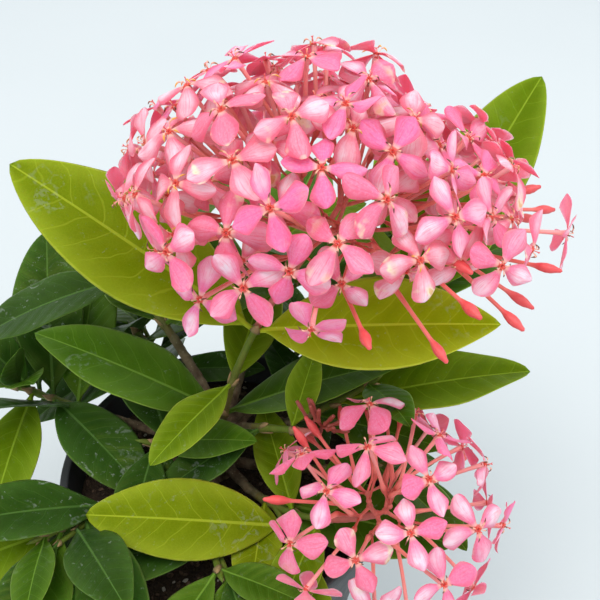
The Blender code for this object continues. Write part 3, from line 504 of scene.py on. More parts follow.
# Each axis leaves the trunk at the share "start" and follows one bend to its tip. The bough is the
# part below "split", the mass of leaves goes from there to "end", and a peduncle from there on.
# "turn" is the compass angle of the oldest pair of leaves, "sizes" the lengths of its pairs.
AXES = {
    "top": dict(start=1.0, bend=(0.008, 0.008, 0.215), tip=(0.043, 0.015, 0.266), split=0.0, end=0.56,
                turn=160, sizes=(0.092, 0.062, 0.118), pace=1.5, rise=68, droop=12, pull=0.20,
                twig=None, seed=16),
    "front": dict(start=0.33, bend=(0.022, -0.036, 0.136), tip=(0.066, -0.044, 0.166), split=0.34, end=0.76,
                  turn=184, sizes=(0.100, 0.074, 0.064), pace=1.0, rise=60, droop=22, twig=270, seed=30),
    "young": dict(start=0.78, bend=(0.016, -0.002, 0.172), tip=(0.042, -0.018, 0.186), split=0.40, end=0.84,
                  turn=60, sizes=(0.066, 0.056), pace=1.0, rise=60, droop=26, twig=None, seed=2),
    "right": dict(start=0.62, bend=(0.034, 0.008, 0.158), tip=(0.066, 0.004, 0.194), split=0.50, end=1.0,
                  turn=2, sizes=(0.100, 0.080, 0.072, 0.045), pace=0.8, rise=60, droop=28, twig=80,
                  seed=18),
    "right_back": dict(start=0.90, bend=(0.050, 0.034, 0.182), tip=(0.102, 0.056, 0.222), split=0.62,
                       end=1.0, turn=42, sizes=(0.080, 0.082, 0.104, 0.050), pace=0.8, rise=28, droop=20,
                       twig=330, seed=43),
    "back": dict(start=0.50, bend=(0.008, 0.052, 0.160), tip=(0.026, 0.082, 0.212), split=0.50, end=1.0,
                 turn=80, sizes=(0.082, 0.086, 0.076, 0.046), pace=0.8, rise=56, droop=36, twig=0, seed=15),
    "left_back": dict(start=0.86, bend=(-0.020, 0.048, 0.168), tip=(-0.050, 0.062, 0.214), split=0.56,
                      end=1.0, turn=190, sizes=(0.080, 0.082, 0.074, 0.046), pace=0.8, rise=60, droop=34,
                      twig=120, seed=22),
    "left": dict(start=0.42, bend=(-0.052, 0.026, 0.138), tip=(-0.104, 0.038, 0.154), split=0.64, end=1.0,
                 turn=72, sizes=(0.082, 0.084, 0.074, 0.048), pace=0.8, rise=54, droop=28, twig=160,
                 seed=32),
    "left_front": dict(start=0.28, bend=(-0.038, -0.014, 0.138), tip=(-0.074, -0.048, 0.154), split=0.58,
                       end=1.0, turn=200, sizes=(0.078, 0.082, 0.074, 0.046), pace=0.8, rise=64, droop=34,
                       twig=250, seed=37),
    "low_front": dict(start=0.12, bend=(-0.008, -0.030, 0.136), tip=(0.002, -0.062, 0.150), split=0.52,
                      end=1.0, turn=260, sizes=(0.076, 0.080, 0.070, 0.044), pace=0.8, rise=66, droop=36,
                      twig=300, seed=37),
    "low_right": dict(start=0.20, bend=(0.034, -0.002, 0.134), tip=(0.078, -0.006, 0.150), split=0.56,
                      end=1.0, turn=300, sizes=(0.074, 0.078, 0.068, 0.044), pace=0.8, rise=66, droop=36,
                      twig=320, seed=66),
    "low_back": dict(start=0.36, bend=(0.016, 0.044, 0.140), tip=(0.040, 0.072, 0.152), split=0.56,
                     end=1.0, turn=50, sizes=(0.074, 0.080, 0.070, 0.044), pace=0.8, rise=64, droop=36,
                     twig=20, seed=67),
    "low_left": dict(start=0.76, bend=(-0.024, 0.044, 0.142), tip=(-0.050, 0.074, 0.156), split=0.56,
                     end=1.0, turn=120, sizes=(0.074, 0.080, 0.070, 0.044), pace=0.8, rise=64, droop=36,
                     twig=110, seed=66),
    "inner": dict(start=0.53, bend=(-0.014, 0.004, 0.146), tip=(-0.034, -0.002, 0.160), split=0.36, end=1.0,
                  turn=185, sizes=(0.080, 0.074, 0.060), pace=0.8, rise=72, droop=26, twig=None, seed=30),
}


def trunk_point(share):
    """Centre of the trunk: upright at the cut, then leaning in one slow bow."""
    lean = share * share * (3.0 - 2.0 * share)
    point = TRUNK_FOOT.lerp(TRUNK_TOP, lean)
    point.z = TRUNK_FOOT.z + share * (TRUNK_TOP.z - TRUNK_FOOT.z)
    return point


def trunk_radius(share):
    height = share * (TRUNK_TOP.z - TRUNK_FOOT.z)
    taper = TRUNK_RADIUS + (TRUNK_TOP_RADIUS - TRUNK_RADIUS) * share
    return taper + FLARE_RADIUS * math.exp(-height / FLARE_HEIGHT)


def axis_point(axis, share):
    start, bend, tip = trunk_point(axis["start"]), Vector(axis["bend"]), Vector(axis["tip"])
    return start * (1 - share) ** 2 + bend * (2 * share * (1 - share)) + tip * share**2


def axis_direction(axis, share):
    start, bend, tip = trunk_point(axis["start"]), Vector(axis["bend"]), Vector(axis["tip"])
    return ((bend - start) * (1 - share) + (tip - bend) * share).normalized()


def across(direction, towards):
    """Unit vector nearest to "towards" and square to the direction."""
    return (towards - direction * towards.dot(direction)).normalized()


def tube_rings(centres, radii, sides, shape=None):
    """Rings of a round limb, each turned as little as can be from the one before."""
    rings, first = [], None
    last = len(centres) - 1
    for i, (centre, radius) in enumerate(zip(centres, radii)):
        along = (centres[min(i + 1, last)] - centres[max(i - 1, 0)]).normalized()
        first = across(along, first or min((UP, EAST, Vector((0.0, 1.0, 0.0))),
                                           key=lambda way: abs(way.dot(along))))
        second = along.cross(first)
        ring = []
        for angle in angles(sides):
            out = first * math.cos(angle) + second * math.sin(angle)
            spot = centre + out * radius
            ring.append(spot + out * (shape(spot, angle, i / last) * radius) if shape else spot)
        rings.append(ring)
    return rings


def bark_relief(spot, angle, share):
    """Shallow cracks that run along the stem, and low lumps."""
    around = Vector((math.cos(angle) * 2.6, math.sin(angle) * 2.6, spot.z * 70 + spot.x * 60))
    crack = 0.16 * max(0.0, 0.16 - abs(noise.noise(around))) / 0.16
    return 0.11 * noise.noise(spot * 260.0) - crack + 0.06 * noise.noise(spot * 900.0)


class Bunch:
    """Many lofts gathered into one mesh, with the values that their points carry."""

    def __init__(self, *labels):
        self.points, self.faces = [], []
        self.values = {label: [] for label in labels}

    def add(self, points, faces, **values):
        start = len(self.points)
        self.points += points
        self.faces += [tuple(start + i for i in face) for face in faces]
        for label, kept in self.values.items():
            given_value = values[label]
            kept += given_value if isinstance(given_value, list) else [given_value] * len(points)

    def tube(self, centres, radii, sides, shape=None, tip=None, **values):
        """Adds a round limb, pointed where it has a tip. A value may be a rule for a ring's number."""
        rings = tube_rings(centres, radii, sides, shape) + ([] if tip is None else [[tip]])
        points, faces = ring_faces(rings)
        for label, value in values.items():
            if callable(value):
                values[label] = [value(i // sides) for i in range(len(points))]
        self.add(points, faces, **values)

    def build(self, name, material, uv=None):
        made = mesh_object(name, self.points, self.faces)
        for label, kept in self.values.items():
            if label != uv:
                made.data.attributes.new(label, "FLOAT", "POINT").data.foreach_set("value", kept)
        if uv:
            layer = made.data.uv_layers.new(name=uv)
            corners = self.values[uv]
            flat = []
            for loop in made.data.loops:
                flat += corners[loop.vertex_index]
            layer.data.foreach_set("uv", flat)
        made.data.materials.append(material)
        return made


bark = Bunch("share")
shares = [(i / TRUNK_STEPS) ** 1.25 for i in range(TRUNK_STEPS + 1)]
centres, radii = [trunk_point(share) for share in shares], [trunk_radius(share) for share in shares]
bark.tube(centres, radii, TRUNK_SIDES, bark_relief, share=0.0)
bough_nodes = []
for name, axis in AXES.items():
    if axis["split"] == 0.0:
        continue
    bough_nodes.append(f"bough_{name}")
    shares = [axis["split"] * i / BOUGH_STEPS for i in range(BOUGH_STEPS + 1)]
    centres = [axis_point(axis, share) for share in shares]
    walked, radii = 0.0, []
    for i, share in enumerate(shares):
        walked += (centres[i] - centres[i - 1]).length if i else 0.0
        from_scar = abs((walked / SCAR_SPACING) % 1.0 - 0.5) * SCAR_SPACING
        collar = COLLAR_SWELL * math.exp(-walked / COLLAR_LENGTH)
        radii.append(BOUGH_RADIUS + (BOUGH_TIP_RADIUS - BOUGH_RADIUS) * share / axis["split"] + collar
                     + SCAR_SWELL * math.exp(-((from_scar / SCAR_WIDTH) ** 2)))
    bark.tube(centres, radii, BOUGH_SIDES, bark_relief, share=lambda ring: ring / BOUGH_STEPS)

bark_material, tree, shader = finish("brown_bark", 0.85, {"Specular IOR Level": 0.3})
patches, grain = mottle(tree, 240.0, (1.0, 1.0, 0.4), 4.0)
colour = mixed(tree, patches, BARK_BROWN, BARK_PALE)
dots = node(tree, "ShaderNodeTexVoronoi", {"Vector": own_place(tree), "Scale": 520.0}).outputs["Distance"]
dots = between(tree, dots, 0.22, 0.12)
colour = mixed(tree, times(tree, dots, 0.55), colour, BARK_DOT)
greener = between(tree, point_value(tree, "share"), 0.5, 1.15, 0.0, 0.6)
colour = mixed(tree, greener, colour, BARK_GREEN)
rough = between(tree, grain, 0.0, 1.0, 0.72, 0.95)
feed(tree, shader, colour, rough, reckon(tree, "ADD", grain, dots), 0.0003, 0.7)
limbs = bark.build("bark_limbs", bark_material)
dress(limbs, "bark", "trunk", *bough_nodes)


# Room that is taken
# A grower thins a plant so that nothing rubs. Every flower and leaf is set where it clears the pot,
# the stems and what is there already, so the places of pot, trunk, boughs and shoots go in first.
SHOOT_RADIUS = 0.0020
SHOOT_TIP_RADIUS = 0.0013
SHOOT_POINTS = 5
SHOOT_BUD_LENGTH = 0.006
PEDUNCLE_RADIUS = 0.0016
# Rim, wall and soil, for keeping leaves off them
POT_ROOM = ((pot_wall(0.0), 0.0), (POT_RIM_RADIUS, POT_HEIGHT), (POT_RIM_RADIUS - 0.005, POT_HEIGHT),
            (POT_RIM_RADIUS - 0.007, SOIL_LEVEL), (0.0, SOIL_LEVEL + 0.001))
POT_ROOM_TURNS = 24


def tree_of(points, faces):
    """Search tree of a loft, split into triangles."""
    triangles = []
    for face in faces:
        triangles += [(face[0], face[i], face[i + 1]) for i in range(1, len(face) - 1)]
    return BVHTree.FromPolygons([tuple(p) for p in points], triangles, all_triangles=True)


def square_ring(centre, along, radius, count=4):
    """A few points round a stem, starting on the same side all the way up it."""
    first = across(along, EAST if abs(along.z) > 0.6 else UP)
    second = along.cross(first)
    return [centre + (first * math.cos(a) + second * math.sin(a)) * radius for a in angles(count)]


def stem_rings(points, radii, count=3):
    """Rings of a twig along a list of centres."""
    rings = []
    for i, (point, radius) in enumerate(zip(points, radii)):
        along = (points[min(i + 1, len(points) - 1)] - points[max(i - 1, 0)]).normalized()
        rings.append(square_ring(point, along, radius, count))
    return rings


def axis_points(axis, low, high, count):
    return [axis_point(axis, low + (high - low) * i / (count - 1)) for i in range(count)]


def axis_length(axis):
    points = axis_points(axis, 0.0, 1.0, 24)
    return sum((b - a).length for a, b in zip(points, points[1:]))


def axis_gap(axis):
    """Share of the axis that makes the clear gap between two solids."""
    return 1.3 * GAP / axis_length(axis)


def shoot_span(axis):
    """Shares of the axis between which the mass of leaves has its stem."""
    return axis["split"] + axis_gap(axis), axis["end"] - (axis_gap(axis) if axis["end"] < 1.0 else 0.0)


def shoot_stem(axis, low, high):
    """Rings of the stem of a mass, with a pointed bud where it ends in leaves."""
    last = SHOOT_POINTS - 1
    rings = []
    for i in range(SHOOT_POINTS):
        share = low + (high - low) * i / last
        radius = SHOOT_RADIUS + (SHOOT_TIP_RADIUS - SHOOT_RADIUS) * i / last
        rings.append(square_ring(axis_point(axis, share), axis_direction(axis, share), radius, 5))
    if axis["end"] == 1.0:
        rings.append([axis_point(axis, 1.0) + axis_direction(axis, 1.0) * SHOOT_BUD_LENGTH])
    return ring_faces(rings)


taken = []


def add(points, faces, owner=None):
    centre = sum(points, Vector()) / len(points)
    taken.append((tree_of(points, faces), centre, max((p - centre).length for p in points), owner))


def clear(points, faces, owner=None):
    tree = tree_of(points, faces)
    centre = sum(points, Vector()) / len(points)
    radius = max((p - centre).length for p in points)
    return not any((centre - other).length < radius + size and tree.overlap(solid)
                   for solid, other, size, holder in taken if owner is None or holder != owner)


add(*turned(POT_ROOM, POT_ROOM_TURNS))
trunk_line = [trunk_point(i / 6) for i in range(7)]
add(*ring_faces(stem_rings(trunk_line, [trunk_radius(i / 6) for i in range(7)], 6)))
for name, axis in AXES.items():
    if axis["split"] > 0.0:
        bough_line = axis_points(axis, 0.12, axis["split"], 5)
        add(*ring_faces(stem_rings(bough_line, [BOUGH_RADIUS] * 5, 5)))
    add(*shoot_stem(axis, *shoot_span(axis)), name)


# Heads of blossom
# A maroon peduncle forks twice under a domed head. Each open flower is a slender coral tube that
# spreads into four broad pink lobes, with four pale anthers laid back between them and a short
# style in a coral eye. Pointed red buds stand at the rim, and a young head is all dark buds.
FLOWER_RADIUS = 0.0140
FLOWER_TUBE = 0.030
FLOWER_DROOP = 0.0012
FLOWER_DEPTH = 0.0011
TUBE_RADIUS = 0.0009
# Outline of a plain lobe: degrees off its middle line, and share of the flower's radius
LOBE = ((-45, 0.20), (-17, 0.96), (17, 0.96))
TEST_SHARE = 0.6
FLOWER_TRIES = 24
FLOWER_GIVE = 0.26
DOME_GIVE = 0.07
TUBE_TO_HUB = 0.42
BLOOM_REACH = 0.062
RIM_ANGLE = 68
YOUNG_BUD_SIZE = 0.55
BUD_LENGTH = 0.012
BUD_RADIUS = 0.0024
BRANCH_RADIUS = 0.0007
PEDICEL_RADIUS = 0.0005
KNOT_RADIUS = 0.0020
GOLDEN_ANGLE = math.pi * (3.0 - math.sqrt(5.0))
# The dome of flowers has the half widths "west", "east", "front", "back" and "high" about a centre
# "lift" above the hub, and reaches "reach" degrees round. Its east shoulder is lower by the share
# "fall". Buds take the place of flowers within "spread" degrees of the compass angle "budding".
HEADS = {
    "top": dict(flowers=76, west=0.073, east=0.091, front=0.066, back=0.053, high=0.057, fall=0.56,
                lift=0.014, lean=(0.07, 0.02), reach=96, buds=12, budding=-25, spread=60,
                tube=FLOWER_TUBE, branches=(7, 24), forks=(0.22, 0.42), seed=41),
    "young": dict(flowers=0, west=0.012, east=0.012, front=0.012, back=0.012, high=0.014, fall=0.0,
                  lift=0.0, lean=(0.0, 0.0), reach=80, buds=9, budding=0, spread=180, tube=0.005,
                  branches=(1, 3), forks=(0.15, 0.30), seed=47),
    "front": dict(flowers=25, west=0.049, east=0.049, front=0.044, back=0.044, high=0.044, fall=0.0,
                  lift=0.004, lean=(0.16, -0.30), reach=98, buds=10, budding=110, spread=75,
                  tube=FLOWER_TUBE, branches=(3, 8), forks=(0.10, 0.20), seed=43),
}


def dome_place(head, hub, compass, theta, rng, loose):
    """Place and facing of one flower on the dome, with the give that flowers in a head have."""
    lean = Vector((head["lean"][0], head["lean"][1], 1.0)).normalized()
    east = across(lean, EAST)
    north = lean.cross(east)
    x, y, z = math.sin(theta) * math.cos(compass), math.sin(theta) * math.sin(compass), math.cos(theta)
    out = 1.0 + rng.uniform(-DOME_GIVE, DOME_GIVE) * loose - head["fall"] * max(0.0, x) * max(0.0, z)
    wide = head["east"] if x > 0.0 else head["west"]
    deep = head["back"] if y > 0.0 else head["front"]
    place = (hub + lean * head["lift"]
             + (east * (wide * x) + north * (deep * y) + lean * (head["high"] * z)) * out)
    facing = (east * (x / wide) + north * (y / deep) + lean * (z / head["high"])).normalized()
    give = Vector((rng.uniform(-1, 1), rng.uniform(-1, 1), rng.uniform(-1, 1))) * (FLOWER_GIVE * loose)
    facing = (facing + give).normalized()
    return place, facing


def flower_at(head, hub, compass, theta, rng, loose=1.0):
    place, facing = dome_place(head, hub, compass, theta, rng, loose)
    inward = (-facing).lerp((hub - place).normalized(), TUBE_TO_HUB).normalized()
    foot = place + inward * head["tube"]
    return dict(place=place, facing=facing, foot=foot, spin=rng.uniform(0, math.pi / 2),
                size=rng.uniform(0.94, 1.06), tint=rng.random())


def spun(facing, angle):
    """Unit vector square to the facing of a flower, turned about it by the angle."""
    return Matrix.Rotation(angle, 3, facing) @ across(facing, UP if abs(facing.z) < 0.9 else EAST)


def flower_outline(flower):
    """Twelve points of the four broad lobes, then the ring where the tube starts."""
    side = spun(flower["facing"], flower["spin"])
    other = flower["facing"].cross(side)
    reach = FLOWER_RADIUS * flower["size"]
    outline = []
    for lobe in range(4):
        for offset, share in LOBE:
            a = math.radians(90 * lobe + offset)
            drop = flower["facing"] * (FLOWER_DROOP * share**2)
            spoke = side * math.cos(a) + other * math.sin(a)
            outline.append(flower["place"] + spoke * (reach * share) - drop)
    ring = []
    for lobe in range(4):
        a = math.radians(90 * lobe - 45)
        ring.append(flower["place"] - flower["facing"] * FLOWER_DEPTH
                    + (side * math.cos(a) + other * math.sin(a)) * TUBE_RADIUS)
    return outline, ring


def flower_mesh(flower, rooted=True, share=TEST_SHARE):
    """Closed flower: face, backs of the lobes and tube, then the pedicel down to its fork."""
    outline, ring = flower_outline(flower)
    shift = flower["foot"] - flower["place"]
    if not rooted:
        shift = shift * share
    foot = [point + shift for point in ring]
    points = outline + ring + foot + [flower["place"] + flower["facing"] * 0.0001]
    faces = [(i, (i + 1) % 12, 20) for i in range(12)]
    for lobe in range(4):
        a, b = 3 * lobe, (3 * lobe + 3) % 12
        here, following = 12 + lobe, 12 + (lobe + 1) % 4
        faces += [(a + 1, a, here), (a + 2, a + 1, here), (a + 2, here, following), (b, a + 2, following)]
        faces.append((here + 4, following + 4, following, here))
    if not rooted:
        return points, faces + [(16, 19, 18, 17)]
    middle = sum(foot, Vector()) / 4
    root = [flower["root"] + (point - middle) * (PEDICEL_RADIUS / TUBE_RADIUS) for point in foot]
    points += root
    for lobe in range(4):
        here, following = 16 + lobe, 16 + (lobe + 1) % 4
        faces.append((here + 5, following + 5, following, here))
    return points, faces + [(21, 24, 23, 22)]


def bud_mesh(bud, rooted=True, share=TEST_SHARE):
    """Closed bud: a spindle on its tube and pedicel."""
    along = (bud["place"] - bud["foot"]).normalized()
    size = bud["size"]
    start = bud["foot"] if rooted else bud["place"].lerp(bud["foot"], share)
    length = BUD_LENGTH * size
    rings = [square_ring(start, along, TUBE_RADIUS),
             square_ring(bud["place"] - along * (0.55 * length), along, TUBE_RADIUS),
             square_ring(bud["place"] + along * (0.05 * length), along, BUD_RADIUS * size),
             [bud["place"] + along * (0.45 * length)]]
    if rooted:
        rings.insert(0, square_ring(bud["root"], along, PEDICEL_RADIUS))
    return ring_faces(rings)


def head_blooms(head, hub):
    """Flowers and buds of one head. One that would cut another is turned a little, or left out."""
    rng = random.Random(head["seed"])
    flowers, buds, trees = [], [], []
    reach = math.cos(math.radians(head["reach"]))
    budding, spread = math.radians(head["budding"]), math.radians(head["spread"])

    def apart(tree, place):
        return not any((place - other).length < BLOOM_REACH and tree.overlap(set_tree)
                       for set_tree, other in trees)

    for i in range(head["flowers"]):
        theta = math.acos(1 - (1 - reach) * (i + 0.5) / head["flowers"])
        compass = i * GOLDEN_ANGLE
        away = abs((compass - budding + math.pi) % (2 * math.pi) - math.pi)
        if away < spread and theta > math.radians(RIM_ANGLE) and i % 2:
            continue
        for attempt in range(FLOWER_TRIES):
            flower = flower_at(head, hub, compass, theta, rng, 1.0 + attempt / FLOWER_TRIES)
            tree = tree_of(*flower_mesh(flower, rooted=False))
            if apart(tree, flower["place"]) and clear(*flower_mesh(flower, False, 1.0)):
                trees.append((tree, flower["place"]))
                flowers.append(flower)
                break
    for i in range(head["buds"]):
        for attempt in range(FLOWER_TRIES):
            low, high = (RIM_ANGLE, head["reach"] + 12) if head["flowers"] else (0, head["reach"])
            theta = math.radians(rng.uniform(low, high))
            compass = budding + spread * rng.uniform(-1, 1)
            bud = flower_at(head, hub, compass, theta, rng, 1.0)
            if not head["flowers"]:
                bud["size"] *= YOUNG_BUD_SIZE
            tree = tree_of(*bud_mesh(bud, rooted=False))
            if apart(tree, bud["place"]) and clear(*bud_mesh(bud, False, 1.0)):
                trees.append((tree, bud["place"]))
                buds.append(bud)
                break
    return flowers, buds


def head_branches(head, hub, blooms):
    """Forks of the head as knots, and the stalks between them. Each bloom is given its fork."""
    made = []
    loose = random.Random(head["seed"] + 1)
    shrink = 1.0 if head["flowers"] else 0.5
    for count, share in zip(head["branches"], head["forks"]):
        forks = []
        for i in range(count):
            theta = math.acos(1 - (1 - math.cos(math.radians(head["reach"] - 8))) * (i + 0.5) / count)
            place, _ = dome_place(head, hub, i * GOLDEN_ANGLE + share, theta, loose, 0.0)
            forks.append(hub.lerp(place, share))
        made.append(forks)
    firsts, seconds = made
    knots, stalks = [(hub, KNOT_RADIUS)], []
    used = set()
    for bloom in blooms:
        nearest = min(range(len(seconds)), key=lambda n: (seconds[n] - bloom["foot"]).length)
        used.add(nearest)
        bloom["root"] = seconds[nearest]
    carried = set()
    for n in sorted(used):
        nearest = min(range(len(firsts)), key=lambda m: (firsts[m] - seconds[n]).length)
        carried.add(nearest)
        knots.append((seconds[n], 0.7 * KNOT_RADIUS * shrink))
        stalks.append((firsts[nearest], seconds[n], BRANCH_RADIUS, PEDICEL_RADIUS))
    for m in sorted(carried):
        knots.append((firsts[m], 0.85 * KNOT_RADIUS * shrink))
        stalks.append((hub, firsts[m], 1.3 * BRANCH_RADIUS, BRANCH_RADIUS))
    return knots, stalks


def stalk_mesh(start, end, thick, thin):
    """Three-sided stalk from the middle of one knot to the middle of the next."""
    return ring_faces(stem_rings([start, end], [thick, thin]))


heads = {}
for name, head in HEADS.items():
    hub = Vector(AXES[name]["tip"])
    flowers, buds = head_blooms(head, hub)
    knots, stalks = head_branches(head, hub, flowers + buds)
    heads[name] = dict(flowers=flowers, buds=buds, knots=knots, stalks=stalks)
    for flower in flowers:
        add(*flower_mesh(flower))
    for bud in buds:
        add(*bud_mesh(bud))
    for stalk in stalks:
        add(*stalk_mesh(*stalk))
    peduncle_line = axis_points(AXES[name], AXES[name]["end"], 1.0, 4)
    add(*ring_faces(stem_rings(peduncle_line, [PEDUNCLE_RADIUS] * 4)))


def bent(start, middle, end, steps):
    """Points along one even bend."""
    return [start * (1 - t) ** 2 + middle * (2 * t * (1 - t)) + end * t**2
            for t in (i / steps for i in range(steps + 1))]


# Stalks: peduncle, forks and the swellings between them
PEDUNCLE_STEPS = 16
PEDUNCLE_SIDES = 14
STALK_STEPS = 8
STALK_SIDES = 8
STALK_SAG = 0.06
KNOT_RINGS = 6
KNOT_SIDES = 10
STALK_MAROON = (0.100, 0.024, 0.021, 1.0)
STALK_CORAL = (0.68, 0.160, 0.125, 1.0)
STALK_BROWN = (0.26, 0.075, 0.040, 1.0)

stalk_bunch = Bunch("tint")
for name, parts in heads.items():
    axis = AXES[name]
    line, radii = [], []
    for i in range(PEDUNCLE_STEPS + 1):
        share = axis["end"] - axis_gap(axis) + (1.0 - axis["end"] + axis_gap(axis)) * i / PEDUNCLE_STEPS
        line.append(axis_point(axis, share))
        radii.append(PEDUNCLE_RADIUS * (0.92 + 0.12 * i / PEDUNCLE_STEPS + 0.05 * math.sin(2.1 * i)))
    stalk_bunch.tube(line, radii, PEDUNCLE_SIDES, tint=0.2)
    for start, end, thick, thin in parts["stalks"]:
        sag = (start + end) / 2 - UP * (STALK_SAG * (end - start).length)
        line = bent(start, sag, end, STALK_STEPS)
        radii = [1.25 * (thick + (thin - thick) * i / STALK_STEPS) for i in range(STALK_STEPS + 1)]
        stalk_bunch.tube(line, radii, STALK_SIDES, tint=0.35 if parts["flowers"] else 0.1)
    for centre, radius in parts["knots"]:
        rings = [[centre - UP * radius]]
        for k in range(1, KNOT_RINGS):
            a = math.pi * k / KNOT_RINGS
            rings.append([centre + point * radius * 0.9
                          for point in round_ring(math.sin(a), -math.cos(a), KNOT_SIDES)])
        rings.append([centre + UP * radius])
        stalk_bunch.add(*ring_faces(rings), tint=0.3)

stalk_material, tree, shader = finish("maroon_stalk", 0.55, {
    "Subsurface Weight": 0.1, "Subsurface Scale": 0.002})
patches, grain = mottle(tree, 420.0, fine=4.0)
colour = mixed(tree, between(tree, point_value(tree, "tint"), 0.0, 0.35), STALK_MAROON, STALK_CORAL)
colour = mixed(tree, times(tree, patches, 0.30), colour, STALK_BROWN)
feed(tree, shader, colour, None, grain, 0.0001, 0.5)
stalk_piece = stalk_bunch.build("blossom_stalks", stalk_material)

# Lobes: originals of the open flower in local axes, its face to +Z, with the throat at the origin
LOBE_COLUMNS = (-1.0, -0.75, -0.42, 0.0, 0.42, 0.75, 1.0)
LOBE_STATIONS = (0.0, 0.10, 0.20, 0.32, 0.45, 0.58, 0.70, 0.81, 0.90, 0.96, 0.99)
LOBE_WIDTHS = (0.060, 0.088, 0.135, 0.205, 0.270, 0.312, 0.326, 0.304, 0.242, 0.170, 0.100)
LOBE_THICK = 0.00028
LOBE_CURVES = 0.85
FLOWER_KINDS = 16
FRESH_KINDS = 8
FRESH_LIE = (-0.0004, 0.0032)
AGED_LIE = (0.0022, 0.0074)
AGED_TINT = 0.45
AGED_CURL = 1.4
LOBE_SKEW = 0.17
LOBE_SHARP = 0.55
LOBE_ROOT = 0.0009
LOBE_LIFT = 0.0003
# The eye: radius and height of the raised ring round the throat
EYE_CUP = ((0.0008, -0.0016), (0.0010, -0.0002), (0.00115, 0.0004), (0.0009, 0.0008), (0.00055, 0.0006),
           (0.0004, -0.0004))
EYE_TURNS = 12


def level(angle):
    return Vector((math.cos(angle), math.sin(angle), 0.0))


def open_flower(number):
    """Four lobes round the eye. "cut" draws how lopsided and how pointed each lobe is."""
    rng, cut = random.Random(200 + number), random.Random(700 + number)
    bunch = Bunch("reach", "across", "under", "side", "tone")
    curl = 1.0 if number < FRESH_KINDS else AGED_CURL
    laid_back = rng.uniform(*(FRESH_LIE if number < FRESH_KINDS else AGED_LIE))
    for lobe in range(4):
        turn = math.radians(90 * lobe + rng.uniform(-9, 9))
        ahead = level(turn)
        side = ahead.cross(UP)
        droop = laid_back + rng.uniform(-0.0028, 0.0028)
        cup, twist = curl * rng.uniform(-0.50, 0.34), curl * rng.uniform(-0.55, 0.55)
        skew, sharp = cut.uniform(-1.0, 1.0), max(0.0, cut.uniform(-0.4, 1.0))
        length, wide = FLOWER_RADIUS * rng.uniform(0.94, 1.07), rng.uniform(0.88, 1.10)
        blunt, hook = rng.uniform(0.74, 1.12), rng.uniform(-0.0016, 0.0016)
        wave, phase = rng.uniform(0.0002, 0.0008), rng.uniform(0, 6.28)
        tone = rng.random()
        rings, values = [], []
        for share, width in zip(LOBE_STATIONS, LOBE_WIDTHS):
            half_width = FLOWER_RADIUS * width * wide * (1.0 + (blunt - 1.0) * max(0.0, share - 0.7) / 0.3)
            half_width *= 1.0 - LOBE_SHARP * sharp * max(0.0, share - 0.74) / 0.25
            lopsided = LOBE_SKEW * skew * math.sin(2.0 * math.pi * (share - 0.45)) if share < 0.95 else 0.0
            base = ahead * (LOBE_ROOT + (length - LOBE_ROOT) * share) + side * (hook * share**2)
            base += UP * (LOBE_LIFT - droop * share**1.7)
            upper, lower = [], []
            for column in LOBE_COLUMNS:
                lift = (cup * abs(column) ** 1.6 * half_width + twist * column * half_width * share
                        + wave * abs(column) * math.sin(7.0 * share + phase + 2.0 * column) * share)
                back = -0.14 * half_width * column**2 * share if share > 0.6 else 0.0
                wing = 1.0 + (lopsided if column > 0.0 else -lopsided)
                spot = base + side * (column * half_width * wing) + UP * lift + ahead * back
                thick = LOBE_THICK / 2 * (1.0 - LOBE_CURVES * column**2)
                upper.append(spot + UP * thick)
                lower.append(spot - UP * thick)
            rings.append(upper + lower[-2:0:-1])
            values += [(share, abs(c), 0.0, c) for c in LOBE_COLUMNS]
            values += [(share, abs(c), 1.0, c) for c in LOBE_COLUMNS[-2:0:-1]]
        rings.append([ahead * (length * 1.006) + side * hook + UP * (LOBE_LIFT - droop * 1.01)])
        values.append((1.0, 1.0, 0.0, 0.0))
        points, faces = ring_faces(rings)
        bunch.add(points, faces, reach=[v[0] for v in values], across=[v[1] for v in values],
                  under=[v[2] for v in values], side=[v[3] + 3.0 * lobe for v in values], tone=tone)
    bunch.add(*turned(EYE_CUP, EYE_TURNS), reach=0.0, across=0.0, under=0.0, side=0.0, tone=0.5)
    return bunch


FILAMENT_RADIUS = 0.00013
ANTHER_RADII = (0.00016, 0.00030, 0.00032, 0.00026, 0.00010)
STYLE_RADII = (0.00018, 0.00017, 0.00022)
# Rings of each half of the parted tip, which is thickest halfway
STIGMA_SHARES = (0.0, 0.12, 0.35, 0.6, 0.85)
STIGMA_RADII = [STYLE_RADII[-1] * (0.35 + 0.65 * math.sin(math.pi * share)) for share in STIGMA_SHARES]


def flower_heart(number):
    """Four anthers that curl back between the lobes, and the style with its parted tip."""
    rng = random.Random(300 + number)
    bunch = Bunch("part")
    for k in range(4):
        turn = math.radians(90 * k + 45 + rng.uniform(-16, 16))
        way = level(turn)
        side = way.cross(UP) * rng.uniform(-0.0006, 0.0006)
        reach, lift = rng.uniform(0.0032, 0.0050), rng.uniform(-0.0008, 0.0022)
        line = bent(way * 0.0008 + UP * 0.0004, way * 0.0019 + UP * (0.0026 + lift),
                    way * reach + side + UP * lift, 6)
        bunch.tube(line[:3], [FILAMENT_RADIUS] * 3, 4, part=0.0)
        bunch.tube(line[2:], ANTHER_RADII, 5, part=lambda ring: 0.3 + 0.3 * ring / 4)
    lean = Vector((rng.uniform(-0.0005, 0.0005), rng.uniform(-0.0005, 0.0005), 0.0024))
    bunch.tube([UP * -0.0006, lean * 0.6, lean], STYLE_RADII, 5, part=0.9)
    for sign in (-1, 1):
        tip = lean * 1.3 + Vector((0.0005 * sign, 0.0002 * sign, 0.0))
        bunch.tube([lean.lerp(tip, share) for share in STIGMA_SHARES], STIGMA_RADII, 5, tip=tip, part=1.0)
    return bunch


